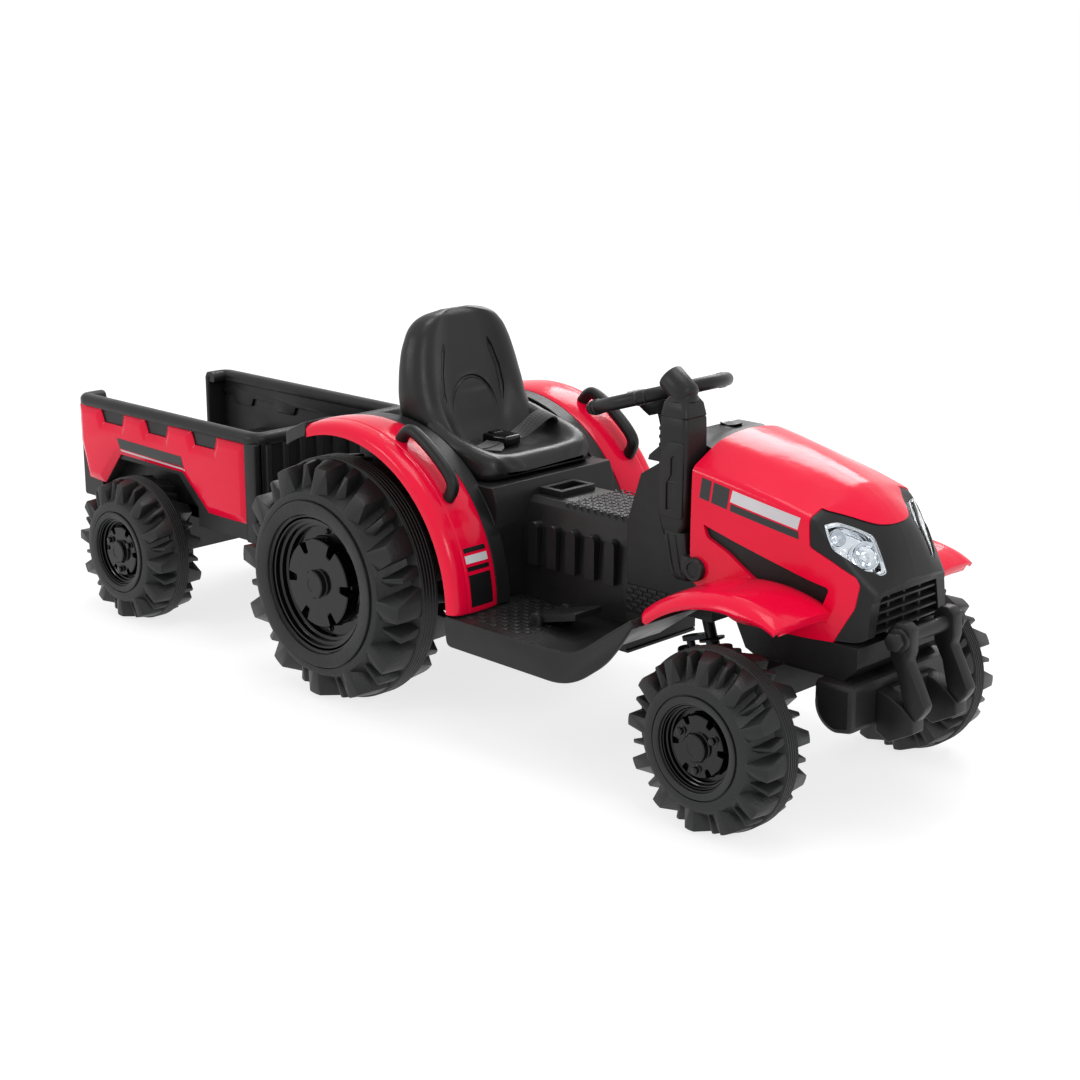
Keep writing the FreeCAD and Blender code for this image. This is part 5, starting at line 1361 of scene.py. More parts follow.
    def lamp_rings(self, side: Side, steps: Sequence[Pair]) -> list[list[Triple]]:
        """The lamp's rounded outline at a row of scales and heights.

        Args:
            side: The side of the tractor.
            steps: Pairs of scale about the outline's middle and height over its plane.

        Returns:
            One ring for each step.
        """
        centre, inward, up, face = self.lamp_frame(side)
        outline = round_loop(self.lamp_outline, 6, 4)
        return [[tuple(centre + inward * (1.5 + (u - 1.5) * scale) + up * (2.5 + (v - 2.5) * scale)
                       + face * height)
                 for u, v in outline] for scale, height in steps]

    def lamp_well(self, side: Side, top: float) -> Piece:
        """The slab that cuts a lamp's well, up to a height over its face."""
        return Shape("lamp_well").loft(self.lamp_rings(side, ((1.0, -16), (1.0, top)))).object()

    def build(self) -> None:
        """Make the red bonnet, vents, nose, grille, lamps and stripes."""
        red = boolean(self.solid("bonnet_red", 0.0, Finish.RED), self.nose_cutter(0.5))
        for side in Side:
            boolean(red, self.vent_cutter(side, 60, 0.4))
            boolean(red, self.lamp_well(side, 4))
        deliver(shade(red), "hood", slot="red_plastic")
        self.make_vents()
        self.make_nose()
        self.make_grille()
        self.make_lamps()
        self.make_stripes(red)

    def make_vents(self) -> None:
        """Recessed black vents."""
        parts = []
        for side in Side:
            vent = self.solid("vent", -5.0, Finish.BLACK)
            parts.append(shade(boolean(vent, self.vent_cutter(side, 55, 0.35), "INTERSECT")))
        deliver(merge(parts, "side_vents"), "hood_vents")

    def make_nose(self) -> None:
        """Black nose with lamp wells, a brow and a mouth."""
        nose = boolean(self.solid("nose_black", -1.6, Finish.BLACK), self.nose_cutter(-0.1), "INTERSECT")
        for side in Side:
            boolean(nose, self.lamp_well(side, 40))
        brow = ((735, 262.5), (720, 261.5), (714.5, 254), (712.5, 246), (712.5, 190), (735, 190))
        boolean(nose, slab("brow", brow, -120, 120))
        mouth = ((-59, 205), (59, 205), (50, 250), (-50, 250))
        boolean(nose, slab("mouth", round_loop(mouth, 4, 3), 700, 740, "YZ"))
        deliver(shade(nose, 16), "nose_frame")

    def make_grille(self) -> None:
        """A back plate, with slanted bars and posts across the mouth."""
        plate = ((-58.4, 205.6), (58.4, 205.6), (49.6, 249.4), (-49.6, 249.4))
        parts = [slab("grille_plate", plate, 694, 700.6, "YZ")]
        for k in range(4):
            z = 209.5 + 10.2 * k
            half = 58 - 8.4 * (z + 5 - 206) / 43
            bar = ((697, z), (711.5, z + 1.2), (711.5, z + 3.8), (697, z + 5.2))
            parts.append(slab("grille_bar", bar, -half, half, edge=0.8))
        for y in (-28, 0, 28):
            parts.append(slab("grille_post", rectangle((y - 2, 206), (y + 2, 249)), 698, 707, "YZ", 0.6))
        deliver(shade(merge(parts, "grille_slats")), "grille")

    def make_lamps(self) -> None:
        """Plated reflectors with a main and a small bowl behind clear covers."""
        bowls, covers = [], []
        for side in Side:
            shapes = [Shape("reflector").loft(self.lamp_rings(side, self.tray), loop=True),
                      Shape("reflector_floor").loft(self.lamp_rings(side, ((0.8, -15.5), (0.8, -13.5)))),
                      Shape("bezel").loft(self.lamp_rings(side, self.bezel), loop=True)]
            centre, inward, up, face = self.lamp_frame(side)
            for u, v, radius in ((10, -7, 15.5), (-11, 20, 9.5)):
                spot = centre + inward * u + up * v
                rings = [[tuple(spot + face * height + (inward * c + up * s) * radius * share)
                          for c, s in circle(1.0, 32)] for share, height in self.bowl]
                shapes.append(Shape("bowl").loft(rings, loop=True))
            bowls += [shape.object(40, Finish.CHROME) for shape in shapes]
            covers.append(self.cover(side))
        deliver(merge(bowls, "headlight_bowls"), "headlight_reflectors", slot="chrome")
        deliver(merge(covers, "headlight_covers"), "headlight_lenses", slot="lens")

    def cover(self, side: Side) -> Piece:
        """A clear cover, crowned on both faces.

        Args:
            side: The side of the tractor.

        Returns:
            The cover as a closed shell.
        """
        shape = Shape("cover")
        top = len(self.cover_outside) - 1
        made = shape.runs(self.lamp_rings(side, self.cover_outside + self.cover_inside))
        for k, (first, second) in enumerate(zip(made, made[1:] + made[:1])):
            if k != top:
                shape.skin(first, second)
        shape.bm.faces.new(made[top])
        shape.bm.faces.new(list(reversed(made[top + 1])))
        return shape.object(40, Finish.LENS)

    def make_stripes(self, red: Piece) -> None:
        """Plain dark and silver films along the bonnet's side crease.

        Args:
            red: The bonnet.
        """
        stripes = Films("bonnet_stripes", "chassis")
        for side in Side:
            for finish, corners, across, along in self.films:
                spots = [(x, 140 * side.value, 328.5 - (x - 508) * 0.182 + 23 * share)
                         for x, share in corners]
                stripes.lay(quad_rows(spots, across, along), (0, -side.value, 0), red, finish)
        stripes.deliver()


# Seat and belt

def along_curve(keys: Sequence[Pair], value: float) -> float:
    """Read a run of straight stretches between key points.

    Args:
        keys: Pairs of position and value, in order.
        value: The position to read at.

    Returns:
        The value there, or the nearest end's.
    """
    if value <= keys[0][0]:
        return keys[0][1]
    for (a, low), (b, high) in zip(keys, keys[1:]):
        if value <= b:
            return low + (high - low) * (value - a) / (b - a)
    return keys[-1][1]


def crowd(start: float, end: float, count: int) -> list[float]:
    """Stations from a start to an end that crowd towards the end."""
    return [start + (end - start) * sin(pi / 2 * k / count) for k in range(count + 1)]


@dataclass
class BucketSeat:
    """Satin black seat: a rounded backrest with bolsters and grooves on a scooped pan, with its lap belt."""

    # Backrest by height: half width, and X of its back, its bolsters and the hollow between them
    half: tuple = (
        (296, 71), (320, 88), (345, 94), (372, 95), (400, 91), (425, 84.5), (445, 75.5), (458, 63),
        (465, 48), (468.7, 22))
    back: tuple = ((296, 22), (341, 16), (420, 12.5), (452, 14.5), (462, 20), (468.7, 30))
    bolster: tuple = (
        (296, 112), (318, 104), (340, 91), (357, 77), (390, 66), (440, 54), (456, 49), (464, 44),
        (468.7, 35))
    hollow: tuple = (
        (296, 88), (318, 76), (330, 69), (368, 59.5), (423, 49.5), (452, 45.5), (462, 42.5), (468.7, 34.5))
    # Pan by X: half width, and height of its sides and its middle
    pan_half: tuple = (
        (64, 86), (90, 95), (120, 97.4), (150, 96.5), (168, 92), (180, 84), (186, 74), (187.8, 66))
    pan_side: tuple = ((64, 352), (95, 340), (122, 332), (150, 325.5), (172, 318.5), (182, 312), (187.8, 300))
    pan_middle: tuple = (
        (64, 312), (90, 309.4), (140, 308.6), (160, 310.5), (172, 313.5), (180, 311.5), (185, 305),
        (187.8, 298))
    # Straps: width, thickness and twist halfway in degrees, then the middle line
    straps: tuple = (
        (24, 1.8, 6, ((114, -15, 315), (114, -24, 312), (115, -40, 311), (116, -54, 313), (117, -66, 321),
                      (117, -72, 326))),
        (24, 1.8, 14, ((114, 15, 315.5), (115, 26, 317), (118, 40, 325), (121, 54, 335), (122, 66, 339),
                       (121, 76, 337), (119, 82, 330), (118, 83, 326))),
        (22, 1.6, 5, ((112, -16, 313.5), (122, -22, 311.6), (131, -30, 311), (138, -42, 311.2))))
    # Half of the webbing's section, as shares of its width and thickness
    webbing: tuple = ((-0.5, -0.3), (-0.47, -0.5), (0.47, -0.5), (0.5, -0.3))
    # Buckle pieces: outline, corner reach and its points, foot, top, edge and its facets
    buckle: tuple = (
        (((94, -16), (112, -17), (133, -13), (133, 13), (112, 17), (94, 16)), 4, 4, 310.4, 322.5, 2.6, 3),
        (((97, -9), (108, -9), (108, 9), (97, 9)), 3, 3, 320, 324, 0.9, 2),
        (((106, 10), (122, 10), (124, 27), (104, 27)), 3, 3, 313.8, 316.6, 0.7, 2))

    def build(self) -> None:
        """Make the seat, the buckle and the webbing."""
        deliver(merge([self.backrest(), self.pan()], "bucket_seat"), "seat")
        belt = [self.ribbon(*strap) for strap in self.straps]
        deliver(merge(belt, "lap_belt"), "belt_straps", slot="belt_webbing")
        parts = [slab("buckle", round_loop(outline, reach, steps), foot, top, "XY", edge, facets,
                      finish=Finish.GLOSS)
                 for outline, reach, steps, foot, top, edge, facets in self.buckle]
        deliver(merge(parts, "lap_buckle"), "belt_buckle", slot="black_gloss")

    def backrest(self) -> Piece:
        """The backrest with two long grooves and an arched crease.

        Returns:
            The backrest.
        """
        rings = []
        for z in crowd(self.half[0][0], self.half[-1][0], 54):
            w, b = along_curve(self.half, z), along_curve(self.back, z)
            f, h = along_curve(self.bolster, z), along_curve(self.hollow, z)
            side = [(h, 0), (h, w * 0.46), (f, w * 0.74), (f - (f - b) * 0.16, w * 0.94),
                    ((f + b) / 2 - 3, w), (b + (f - b) * 0.12, w * 0.95), (b, w * 0.7), (b, 0)]
            curve = rounded(side, [w * 0.3, w * 0.2, w * 0.14, w * 0.14, w * 0.14, w * 0.2], 7)
            rings.append(mirrored([(x, y, z) for x, y in curve]))
        rest = Shape("backrest").loft(relax(rings, 3)).object(60, Finish.SEAT)
        front = 160
        for s in (1, -1):
            line = ((47, 352), (49, 372), (47, 394), (41, 415), (36.5, 430))
            self.groove(rest, [(front, y * s, z) for y, z in line], 3.8)
        arch = [pi * k / 24 for k in range(25)]
        self.groove(rest, [(front, -37 * cos(a), 345 + 41 * sin(a)) for a in arch], 2.8)
        return shade(rest, 45)

    @staticmethod
    def groove(target: Piece, path: Sequence[Triple], radius: float) -> None:
        """Press a half-round groove with tapered ends into the front of a piece.

        Args:
            target: The piece.
            path: The groove's line, in front of the piece.
            radius: Its radius.
        """
        tree = BVHTree.FromObject(target, bpy.context.evaluated_depsgraph_get())
        dense = []
        for a, b in zip(path, path[1:]):
            dense += [tuple(p + (q - p) * k / 6 for p, q in zip(a, b)) for k in range(6)]
        dense.append(path[-1])
        proud = 0.4
        spots = []
        for point in dense:
            spot, _, _, _ = tree.ray_cast(at(*point), Vector((-1, 0, 0)))
            spots.append(tuple(spot / MM - Vector((REAR_AXLE_X - proud, 0, 0))))
        count = len(spots)
        radii = [radius * min(1.0, 0.35 + 4.0 * min(k, count - 1 - k) / count) for k in range(count)]
        boolean(target, Shape("groove").tube(spots, radii, 10).object(finish=Finish.SEAT))

    def pan(self) -> Piece:
        """The scooped pan with rolled sides and front lip.

        Returns:
            The pan.
        """
        rings = []
        for x in crowd(self.pan_half[0][0], self.pan_half[-1][0], 44):
            w, s, m = (along_curve(keys, x) for keys in (self.pan_half, self.pan_side, self.pan_middle))
            low = 286.2 + max(0.0, x - 178) * 0.5
            side = [(0, low), (w - 4, low), (w, low + 7), (w, s - 9), (w - 7, s), (w - 19, s - 1),
                    (min(w - 30, 58), m + 2), (34, m), (0, m)]
            rings.append(mirrored([(x, y, z) for y, z in rounded(side, [5, 5, 9, 9, 12, 14, 12], 6)]))
        return chamfer(Shape("seat_pan").loft(relax(rings, 4)).object(50, Finish.SEAT), 4, 3, 50)

    def ribbon(self, width: float, skin: float, lean: float, path: Sequence[Triple]) -> Piece:
        """A webbing strap swept along a path with its width along X, twisted a little on the way.

        Args:
            width: The webbing's width.
            skin: The webbing's thickness.
            lean: How far in degrees the strap twists halfway.
            path: Its middle line.

        Returns:
            The strap.
        """
        points = ease(path)
        section = [*self.webbing, *((-u, -v) for u, v in self.webbing)]
        rings = []
        for k, (point, tangent) in enumerate(zip(points, tangents(points))):
            angle = radians(lean) * sin(pi * k / (len(points) - 1))
            across = Matrix.Rotation(angle, 3, tangent) @ Vector((1, 0, 0))
            across = (across - tangent * across.dot(tangent)).normalized()
            up = tangent.cross(across)
            rings.append([tuple(point + across * (width * u) + up * (skin * v)) for u, v in section])
        return Shape("strap").loft(rings).object(50, Finish.WEBBING)


# Fenders, linkage and exhaust

def sweep_round(centre: Pair, section: Callable[[float], Sequence[Pair]], start: float, end: float,
                steps: int, side: Side) -> Piece:
    """Sweep a closed section of radius and Y round an axle.

    Args:
        centre: X and Z of the axle.
        section: The section at an angle in degrees.
        start: The first angle.
        end: The last angle.
        steps: Sections, less one.
        side: The side of the tractor.

    Returns:
        The red guard.
    """
    rings = []
    for k in range(steps + 1):
        angle = start + (end - start) * k / steps
        c, s = cos(radians(angle)), sin(radians(angle))
        rings.append([(centre[0] + r * c, y, centre[1] + r * s) for r, y in section(angle)])
    return Shape("guard").loft(rings).flip_to(side).object(45, Finish.RED)


@dataclass
class Fenders:
    """Glossy red guards over the rear and front wheels, with plain printed bars and bent handles."""

    rear_centre: Pair = (28, 153)
    front_centre: Pair = (604, 80)
    # Sections as radius and Y, with the reach of each round corner
    rear_outside: tuple = (
        (196.2, 120.2), (199.4, 136), (200.2, 156), (199.6, 167), (198.6, 169.4), (198.9, 172),
        (197.6, 182), (193, 188.6), (182.2, 190.8))
    rear_inside: tuple = (
        (182.2, 187.4), (191, 185), (194.2, 179), (195.8, 167), (196.6, 156), (195.8, 136), (192.6, 120.2))
    front_outside: tuple = ((171, 82), (176.2, 98), (177, 140), (176, 166), (170.5, 175.5), (163, 180))
    # Bars across the rear guards, from angle to angle
    bars: tuple = (
        (Finish.STRIPE, 2.5, 12.5), (Finish.STRIPE, 14.2, 15.6), (Finish.STRIPE, 20.4, 21.9),
        (Finish.STRIPE_PALE, 16.8, 19.3))
    # The handle's line as angle and radius
    handle_line: tuple = (
        (68.2, 199), (67.4, 210), (65.6, 219), (61, 220.6), (54, 220.4), (47, 220.6), (42.4, 219),
        (40.6, 210), (39.8, 199))

    def build(self) -> None:
        """Make all four guards, the rear bars and the handles."""
        films = Films("fender_bars", "chassis")
        handles = []
        for side in Side:
            rear = self.rear(side)
            deliver(rear, f"rear_fender_{side.word}", slot="red_plastic")
            for finish, low, high in self.bars:
                middle = radians((low + high) / 2)
                films.lay(self.bar(side, low, high), (-cos(middle), 0, -sin(middle)), rear, finish)
            deliver(self.front(side), f"front_fender_{side.word}", slot="red_plastic")
            path = ease([self.spot(radians(angle), reach, 156) for angle, reach in self.handle_line])
            handles.append(Shape("handle").tube(path, 7.6, 20).flip_to(side).object(50))
        deliver(merge(handles, "bent_handles"), "grab_handles")
        films.deliver()

    def spot(self, angle: float, reach: float, y: float) -> Triple:
        """A point round the rear guard's axle."""
        x, z = self.rear_centre
        return (x + reach * cos(angle), y, z + reach * sin(angle))

    def rear(self, side: Side) -> Piece:
        """A rear guard with a rolled outer wall and a pressed line beside it.

        Args:
            side: The side of the tractor.

        Returns:
            The guard.
        """
        section = rounded(self.rear_outside, [12, 12, 3, 2, 2, 5, 6], 4)
        section += rounded(self.rear_inside, [5, 5, 8, 8, 10], 3)
        guard = sweep_round(self.rear_centre, lambda angle: section, 0.15, 108.9, 96, side)
        guard.name = f"rear_guard_{side.word}"
        return chamfer(guard, 1.2, 2, 60)

    def bar(self, side: Side, low: float, high: float) -> list[list[Triple]]:
        """Rows of points over a bar across a rear guard, from one angle in degrees to another."""
        angles = [radians(low + (high - low) * k / 4) for k in range(5)]
        return [[self.spot(angle, 215, side.value * (129 + 36 * j / 8)) for j in range(9)]
                for angle in angles]

    def front(self, side: Side) -> Piece:
        """A front guard that folds down along its outer and front edges.

        Args:
            side: The side of the tractor.

        Returns:
            The guard.
        """
        def section(angle: float) -> list[Pair]:
            """The section at an angle in degrees."""
            fall = max(0.0, 74 - angle) ** 2 * 0.04
            wall = 12.0 if angle < 66.2 else 3.6
            lift = max(0.0, 82 - angle) / 17 * 0.6
            top = [(r - fall + (176 - r) * lift * (y > 150), y)
                   for r, y in rounded(self.front_outside, [12, 12, 8, 5], 5)]
            depth = [min(wall if y < 168 else 4.6, r - 149.5) for r, y in top]
            low = [(r - w, y - (2.6 if y > 172 else 0)) for (r, y), w in zip(top, depth)]
            return top + list(reversed(low))
        guard = sweep_round(self.front_centre, section, 65, 129, 60, side)
        guard.name = f"front_guard_{side.word}"
        return chamfer(guard, 1.3, 2, 50)


@dataclass
class Linkage:
    """Front linkage: two cranked arms in forked feet, joined by a plate and a bolted cross bar."""

    arm: tuple = (
        (722, 207), (723, 219), (731, 227), (741, 227), (749, 221), (750, 197), (747, 187), (757, 168.5),
        (770.5, 143), (768, 136), (759.5, 124.5), (750, 125), (741.5, 146), (736, 168), (725, 187))
    foot: tuple = ((712.3, 150), (729, 146), (743, 138.5), (758, 127), (758.5, 112), (729, 96), (712.3, 105))
    near: float = 32.0
    far: float = 48.0
    fork: float = 2.6
    bar: Pair = (736, 209)

    def build(self) -> None:
        """Make the arms with their feet and plate, then the bar with its sleeves and nuts."""
        near, far = self.near, self.far
        x, z = self.bar
        reach = far + 13.6
        arms, ends = [], []
        for side in Side:
            arms.append(slab("arm", self.arm, near, far, "XZ", 2.4, 3, 40, side))
            arms.append(slab("foot", self.foot, near - self.fork, far + self.fork, "XZ", 1.6, 3, 40, side))
            ends.append(slab("sleeve", circle(13, 28, self.bar), far - 0.5, far + 5, "XZ", 1.4, 2, 40, side))
            ends.append(slab("nut", circle(10.6, 6, self.bar), far, reach, "XZ", 1.4, 2, 40, side))
        arms.append(slab("cross_plate", rectangle((712.3, 108), (721, 150.4)), -near, near, "XZ", 1.5, 2, 40))
        bar = Shape("cross_bar").tube([(x, 5 - reach, z), (x, reach - 5, z)], 8.2, 28)
        ends.append(bar.object(40))
        deliver(merge(arms, "linkage_arms"), "front_linkage")
        deliver(merge(ends, "linkage_bar"), "linkage_pin")


@dataclass
class Exhaust:
    """Grained black muffler box with a pressed panel, a slot and bellows, a slanted tip and a ribbed leg."""

    # Sections: height, then rear and front X, and inner and outer Y
    box: tuple = (
        (274.3, 457, 478, -67, -95), (280, 454.5, 481, -64.5, -97.5), (294, 451.5, 487.5, -62.8, -99.6),
        (330, 450.3, 489.5, -62.4, -100), (392, 450.3, 489.7, -62.4, -100), (408, 450.8, 489, -62.4, -99.6),
        (409.5, 451.6, 488.2, -63.2, -98.8), (411, 450.8, 489, -62.4, -99.6), (424, 453, 486, -64, -97),
        (430.6, 457, 481, -68, -93))
    leg_sections: tuple = (
        (284, 457, 487, -70, -98), (268, 460, 489.5, -71, -99), (250, 465, 493, -72, -100),
        (238, 469, 495.5, -74, -100), (232, 475, 495, -78, -98))
    panel: tuple = ((453.5, 300), (486.5, 300), (487.5, 384), (467, 384), (453.5, 364))
    slot: tuple = (
        (464, 308), (473, 311), (473, 335), (479, 342), (479, 364), (474.5, 370), (470, 366), (470, 347),
        (464, 338))
    # Turned pieces as radius and distance along the axis
    tip_profile: tuple = (
        (0.02, 31.4), (12.4, 31.4), (13.2, 33.6), (14.4, 33.6), (15.2, 32.4), (15.2, 5), (13.6, 0.6),
        (9.4, -2.4), (0.02, -3.4))
    neck_profile: tuple = ((0.02, 0), (16, 0), (16, 3.4), (14.6, 5), (14.2, 14), (0.02, 14))
    boss_profile: tuple = (
        (0.02, -96), (13, -96), (13, -103.6), (12, -104.8), (8.4, -104.8), (7.8, -103.6), (0.02, -103.6))

    def build(self) -> None:
        """Make the muffler, the tip and the leg."""
        self.muffler()
        self.tip()
        self.leg()

    @staticmethod
    def boxed(name: str, sections: Sequence, radii: Sequence[float], steps: int, sharp: float) -> Piece:
        """A lofted box with round corners.

        Args:
            name: The box's name.
            sections: Rows of height, both X and both Y.
            radii: The reach of each round corner.
            steps: Points on a corner, less one.
            sharp: Edges sharper than this many degrees stay sharp.

        Returns:
            The box.
        """
        rings = []
        for z, x0, x1, y0, y1 in sections:
            seam = ((x0 + x1) / 2, y0)
            ring = rounded([seam, (x0, y0), (x0, y1), (x1, y1), (x1, y0), seam], radii, steps)[:-1]
            rings.append([(x, y, z) for x, y in ring])
        return Shape(name).loft(rings).object(sharp)

    def muffler(self) -> None:
        """The box with its raised panel, the bellows at its back and the pin in its slot."""
        panel = slab("panel", round_loop(self.panel, 4, 4), -101.4, -95, edge=1.0)
        boolean(panel, slab("slot", round_loop(self.slot, 3, 4), -110, -97.2))
        parts = [self.boxed("muffler", self.box, [5, 7, 7, 5], 5, 40), shade(panel)]
        for z in (368, 377, 386, 395):
            outline = ((451.5, z - 3.2), (449.2, z - 2), (448.6, z), (449.2, z + 2), (451.5, z + 3.2))
            parts.append(slab("bellows", outline, -97, -66, edge=1.0))
        pin = Shape("slot_pin").tube([(463, -99.4, 340), (478, -99.4, 340)], 1.3, 10)
        parts.append(pin.object())
        deliver(merge(parts, "muffler_box"), "muffler")

    def tip(self) -> None:
        """A pipe end that leans back over its neck, with a shallow rim."""
        tip = Shape("pipe_tip").turn(self.tip_profile, (0, 0, 0), 40, "Z")
        tip.move(Matrix.Rotation(radians(-53), 3, "Y"), (477.5, -81.3, 430))
        neck = Shape("pipe_neck").turn(self.neck_profile, (470.5, -81.3, 427), 40, "Z")
        parts = [tip.object(40), neck.object(40)]
        deliver(merge(parts, "pipe_end"), "exhaust_tip")

    def leg(self) -> None:
        """A ribbed leg that slants down to a round boss on the bonnet's side."""
        parts = [self.boxed("exhaust_leg", self.leg_sections, [5, 6, 6, 5], 4, 50)]
        for x in (463, 474):
            path = ((x, -98, 280), (x + 3, -99, 268), (x + 8, -100, 250), (x + 12, -99.6, 238))
            parts.append(Shape("leg_rib").tube(path, 2.2, 12).object(60))
        web = ((486, 241), (506, 238), (506, 260), (488, 262))
        parts.append(slab("boss_web", web, -102, -90, "XZ", 2, 2, 40))
        boss = Shape("exhaust_boss").turn(self.boss_profile, (506, 0, 249), 32)
        parts.append(boss.object(40))
        deliver(merge(parts, "exhaust_bracket"), "exhaust_elbow")


# Trailer

@dataclass
class TrailerSides:
    """Glossy red side panels with broad bevels, and plain films on each."""

    # Outline as shares of the panel's size
    outline: tuple = (
        (0, 1), (0, 0.52), (0.04, 0.04), (0.14, 0.02), (0.25, 0.45), (0.63, 0.43), (0.775, 0.0), (1, 0),
        (1, 1), (0.838, 1), (0.819, 0.826), (0.708, 0.826), (0.689, 1), (0.554, 1), (0.535, 0.826),
        (0.43, 0.826), (0.41, 1), (0.284, 1), (0.265, 0.826), (0.154, 0.826), (0.135, 1))
    low: Pair = (-604, 168)
    size: Pair = (375.4, 109)
    # Films: corners as X and Z, then rows less one
    films: tuple = (
        (Finish.STRIPE, ((-505, 227.5), (-359, 223.5), (-364, 238.5), (-511, 241.5)), 4),
        (Finish.STRIPE_PALE, ((-504, 223.5), (-356, 219.5), (-357.5, 222), (-505, 226)), 2))

    def build(self) -> None:
        """Make both panels and their films."""
        films = Films("trailer_films", "trailer")
        for side in Side:
            panel = self.panel(side)
            deliver(panel, f"trailer_panel_{side.word}", body="trailer", slot="red_plastic")
            for finish, corners, across in self.films:
                spots = [(x, 170 * side.value, z) for x, z in corners]
                films.lay(quad_rows(spots, across, 16), (0, -side.value, 0), panel, finish)
        films.deliver()

    def panel(self, side: Side) -> Piece:
        """A panel whose face stands proud of broad bevels all round.

        Args:
            side: The side of the trailer.

        Returns:
            The panel.
        """
        points = [(self.low[0] + self.size[0] * u, self.low[1] + self.size[1] * v) for u, v in self.outline]
        shape = Shape(f"side_panel_{side.word}").prism(points, 127.4, 129.4)
        shape.bm.normal_update()
        flat = [f for f in shape.bm.faces if len(f.verts) == len(points)]
        face = max(flat, key=lambda f: f.calc_center_median().y)
        if face.normal.y < 0:
            face.normal_flip()
        bmesh.ops.inset_individual(shape.bm, faces=[face], thickness=10.5, depth=4.6, use_even_offset=True)
        return chamfer(shape.flip_to(side).object(25, Finish.RED), 1.0, 2, 20)


@cache
def plate_tree() -> Tree:
    """The node tree that repeats one raised mark over a plate.

    Returns:
        A geometry node tree with named inputs for the counts, the plate's size, its place and its slope.
    """
    tree = new_tree("marks_on_plate", {
        "Count X": "Int", "Count Y": "Int", "Length": "Float", "Width": "Float",
        "Place": "Vector", "Slope": "Vector", "Finish": "Material"})
    source = add_node(tree, "NodeGroupInput").outputs
    grid = add_node(tree, "GeometryNodeMeshGrid", {
        "Size X": source["Length"], "Size Y": source["Width"], "Vertices X": source["Count X"],
        "Vertices Y": source["Count Y"]})
    spots = add_node(tree, "GeometryNodeInstanceOnPoints", {
        "Points": grid.outputs["Mesh"], "Instance": source["Geometry"]})
    laid = add_node(tree, "GeometryNodeTransform", {
        "Geometry": spots.outputs[0], "Translation": source["Place"], "Rotation": source["Slope"]})
    finish_tree(tree, laid, source["Finish"])
    return tree


def patch(mark: Shape, count: tuple[int, int], size: Pair, place: Triple, slope: Pair = (0, 0)) -> Piece:
    """One pattern of marks on a plate.

    Args:
        mark: One mark round the zero point.
        count: Marks along and across.
        size: The pattern's length and width.
        place: The plate's middle.
        slope: How far the plate is turned about X and about Y, in degrees.

    Returns:
        The pattern as plain mesh.
    """
    return run_tree(mark.to_origin().object(), plate_tree(), {
        "Count X": count[0], "Count Y": count[1], "Length": size[0] * MM, "Width": size[1] * MM,
        "Place": tuple(at(*place)), "Slope": (radians(slope[0]), radians(slope[1]), 0),
        "Finish": Finish.BLACK.material()})


@dataclass
class TrailerTub:
    """Black tub: open at the back, with round rails, wheel wells, a ribbed front and a notched band."""

    # Outlines as X and Z
    well: tuple = ((-561, 140), (-561, 171), (-518.8, 210), (-381.2, 210), (-339, 171), (-339, 140))
    lining: tuple = ((-565, 145.2), (-565, 172.6), (-521.3, 214), (-378.7, 214), (-335, 172.6), (-335, 145.2))
    band: tuple = (
        (-600, 277), (-600, 257), (-575, 257), (-570, 245), (-532, 245), (-527, 257), (-478, 257),
        (-473, 245), (-435, 245), (-430, 257), (-373, 257), (-368, 245), (-330, 245), (-325, 257),
        (-213, 257), (-213, 277))
    # The rail's middle line seen from above, and half of its section as distance outwards and Z
    rail_line: tuple = ((-598, 95), (-598, 125), (-210.5, 125), (-210.5, -125), (-598, -125), (-598, -95))
    rail_half: tuple = ((8.4, 277), (10, 279), (10, 284), (8.6, 288.6), (5.4, 291.2), (0, 292))
    rib: tuple = ((-1, -4.5), (3.6, -4.5), (5, -3), (5, 3), (3.6, 4.5), (-1, 4.5))

    def build(self) -> None:
        """Make the floor, the walls, the rails and the ribs."""
        floor = slab("tub_floor", rectangle((-604, -126.6), (-205.4, 126.6)), 145.2, 161, "XY")
        for side in Side:
            boolean(floor, self.cutter(side))
        parts = [shade(floor)]
        wall = rectangle((-604, 145), (-205, 279))
        pillar = rectangle((-228, 145), (-205, 279))
        post = rectangle((-608, 145), (-600, 286))
        for side in Side:
            for outline, near, far in ((wall, 123, 127), (self.lining, 97, 126.8)):
                piece = slab("tub_side", outline, near, far, side=side)
                parts.append(shade(boolean(piece, self.cutter(side))))
            for outline, near, far, edge in ((pillar, 123, 134.6, 3), (post, 93, 126.8, 2.4),
                                             (self.band, 119.4, 123.4, 1.4)):
                parts.append(slab("tub_post", outline, near, far, "XZ", edge, 3, 40, side))
        parts.append(slab("tub_front", rectangle((-213, -127), (-205, 127)), 145, 286, "XY", 1.6, 2, 40))
        parts.append(self.rail())
        parts.append(patch(Shape("tub_rib").prism(self.rib, -58, 58, "XY"), (1, 9), (0, 227), (-205, 0, 219)))
        deliver(merge(parts, "trailer_body"), "trailer_tub", body="trailer")

    def cutter(self, side: Side) -> Piece:
        """The slab that cuts one wheel well."""
        return slab("well", self.well, 101, 140, side=side)

    def rail(self) -> Piece:
        """One round-topped rail along the sides and the front, turned in at the back.

        Returns:
            The rail.
        """
        section = [*self.rail_half, *((-n, z) for n, z in reversed(self.rail_half[:-1]))]
        points = [Vector(p) for p in rounded(self.rail_line, [12, 16, 16, 12], 8)]
        rings = [[(point.x - along.y * n, point.y + along.x * n, z) for n, z in section]
                 for point, along in zip(points, tangents(points))]
        return Shape("tub_rail").loft(rings).object(50)


# Footboards, grips and steering wheel

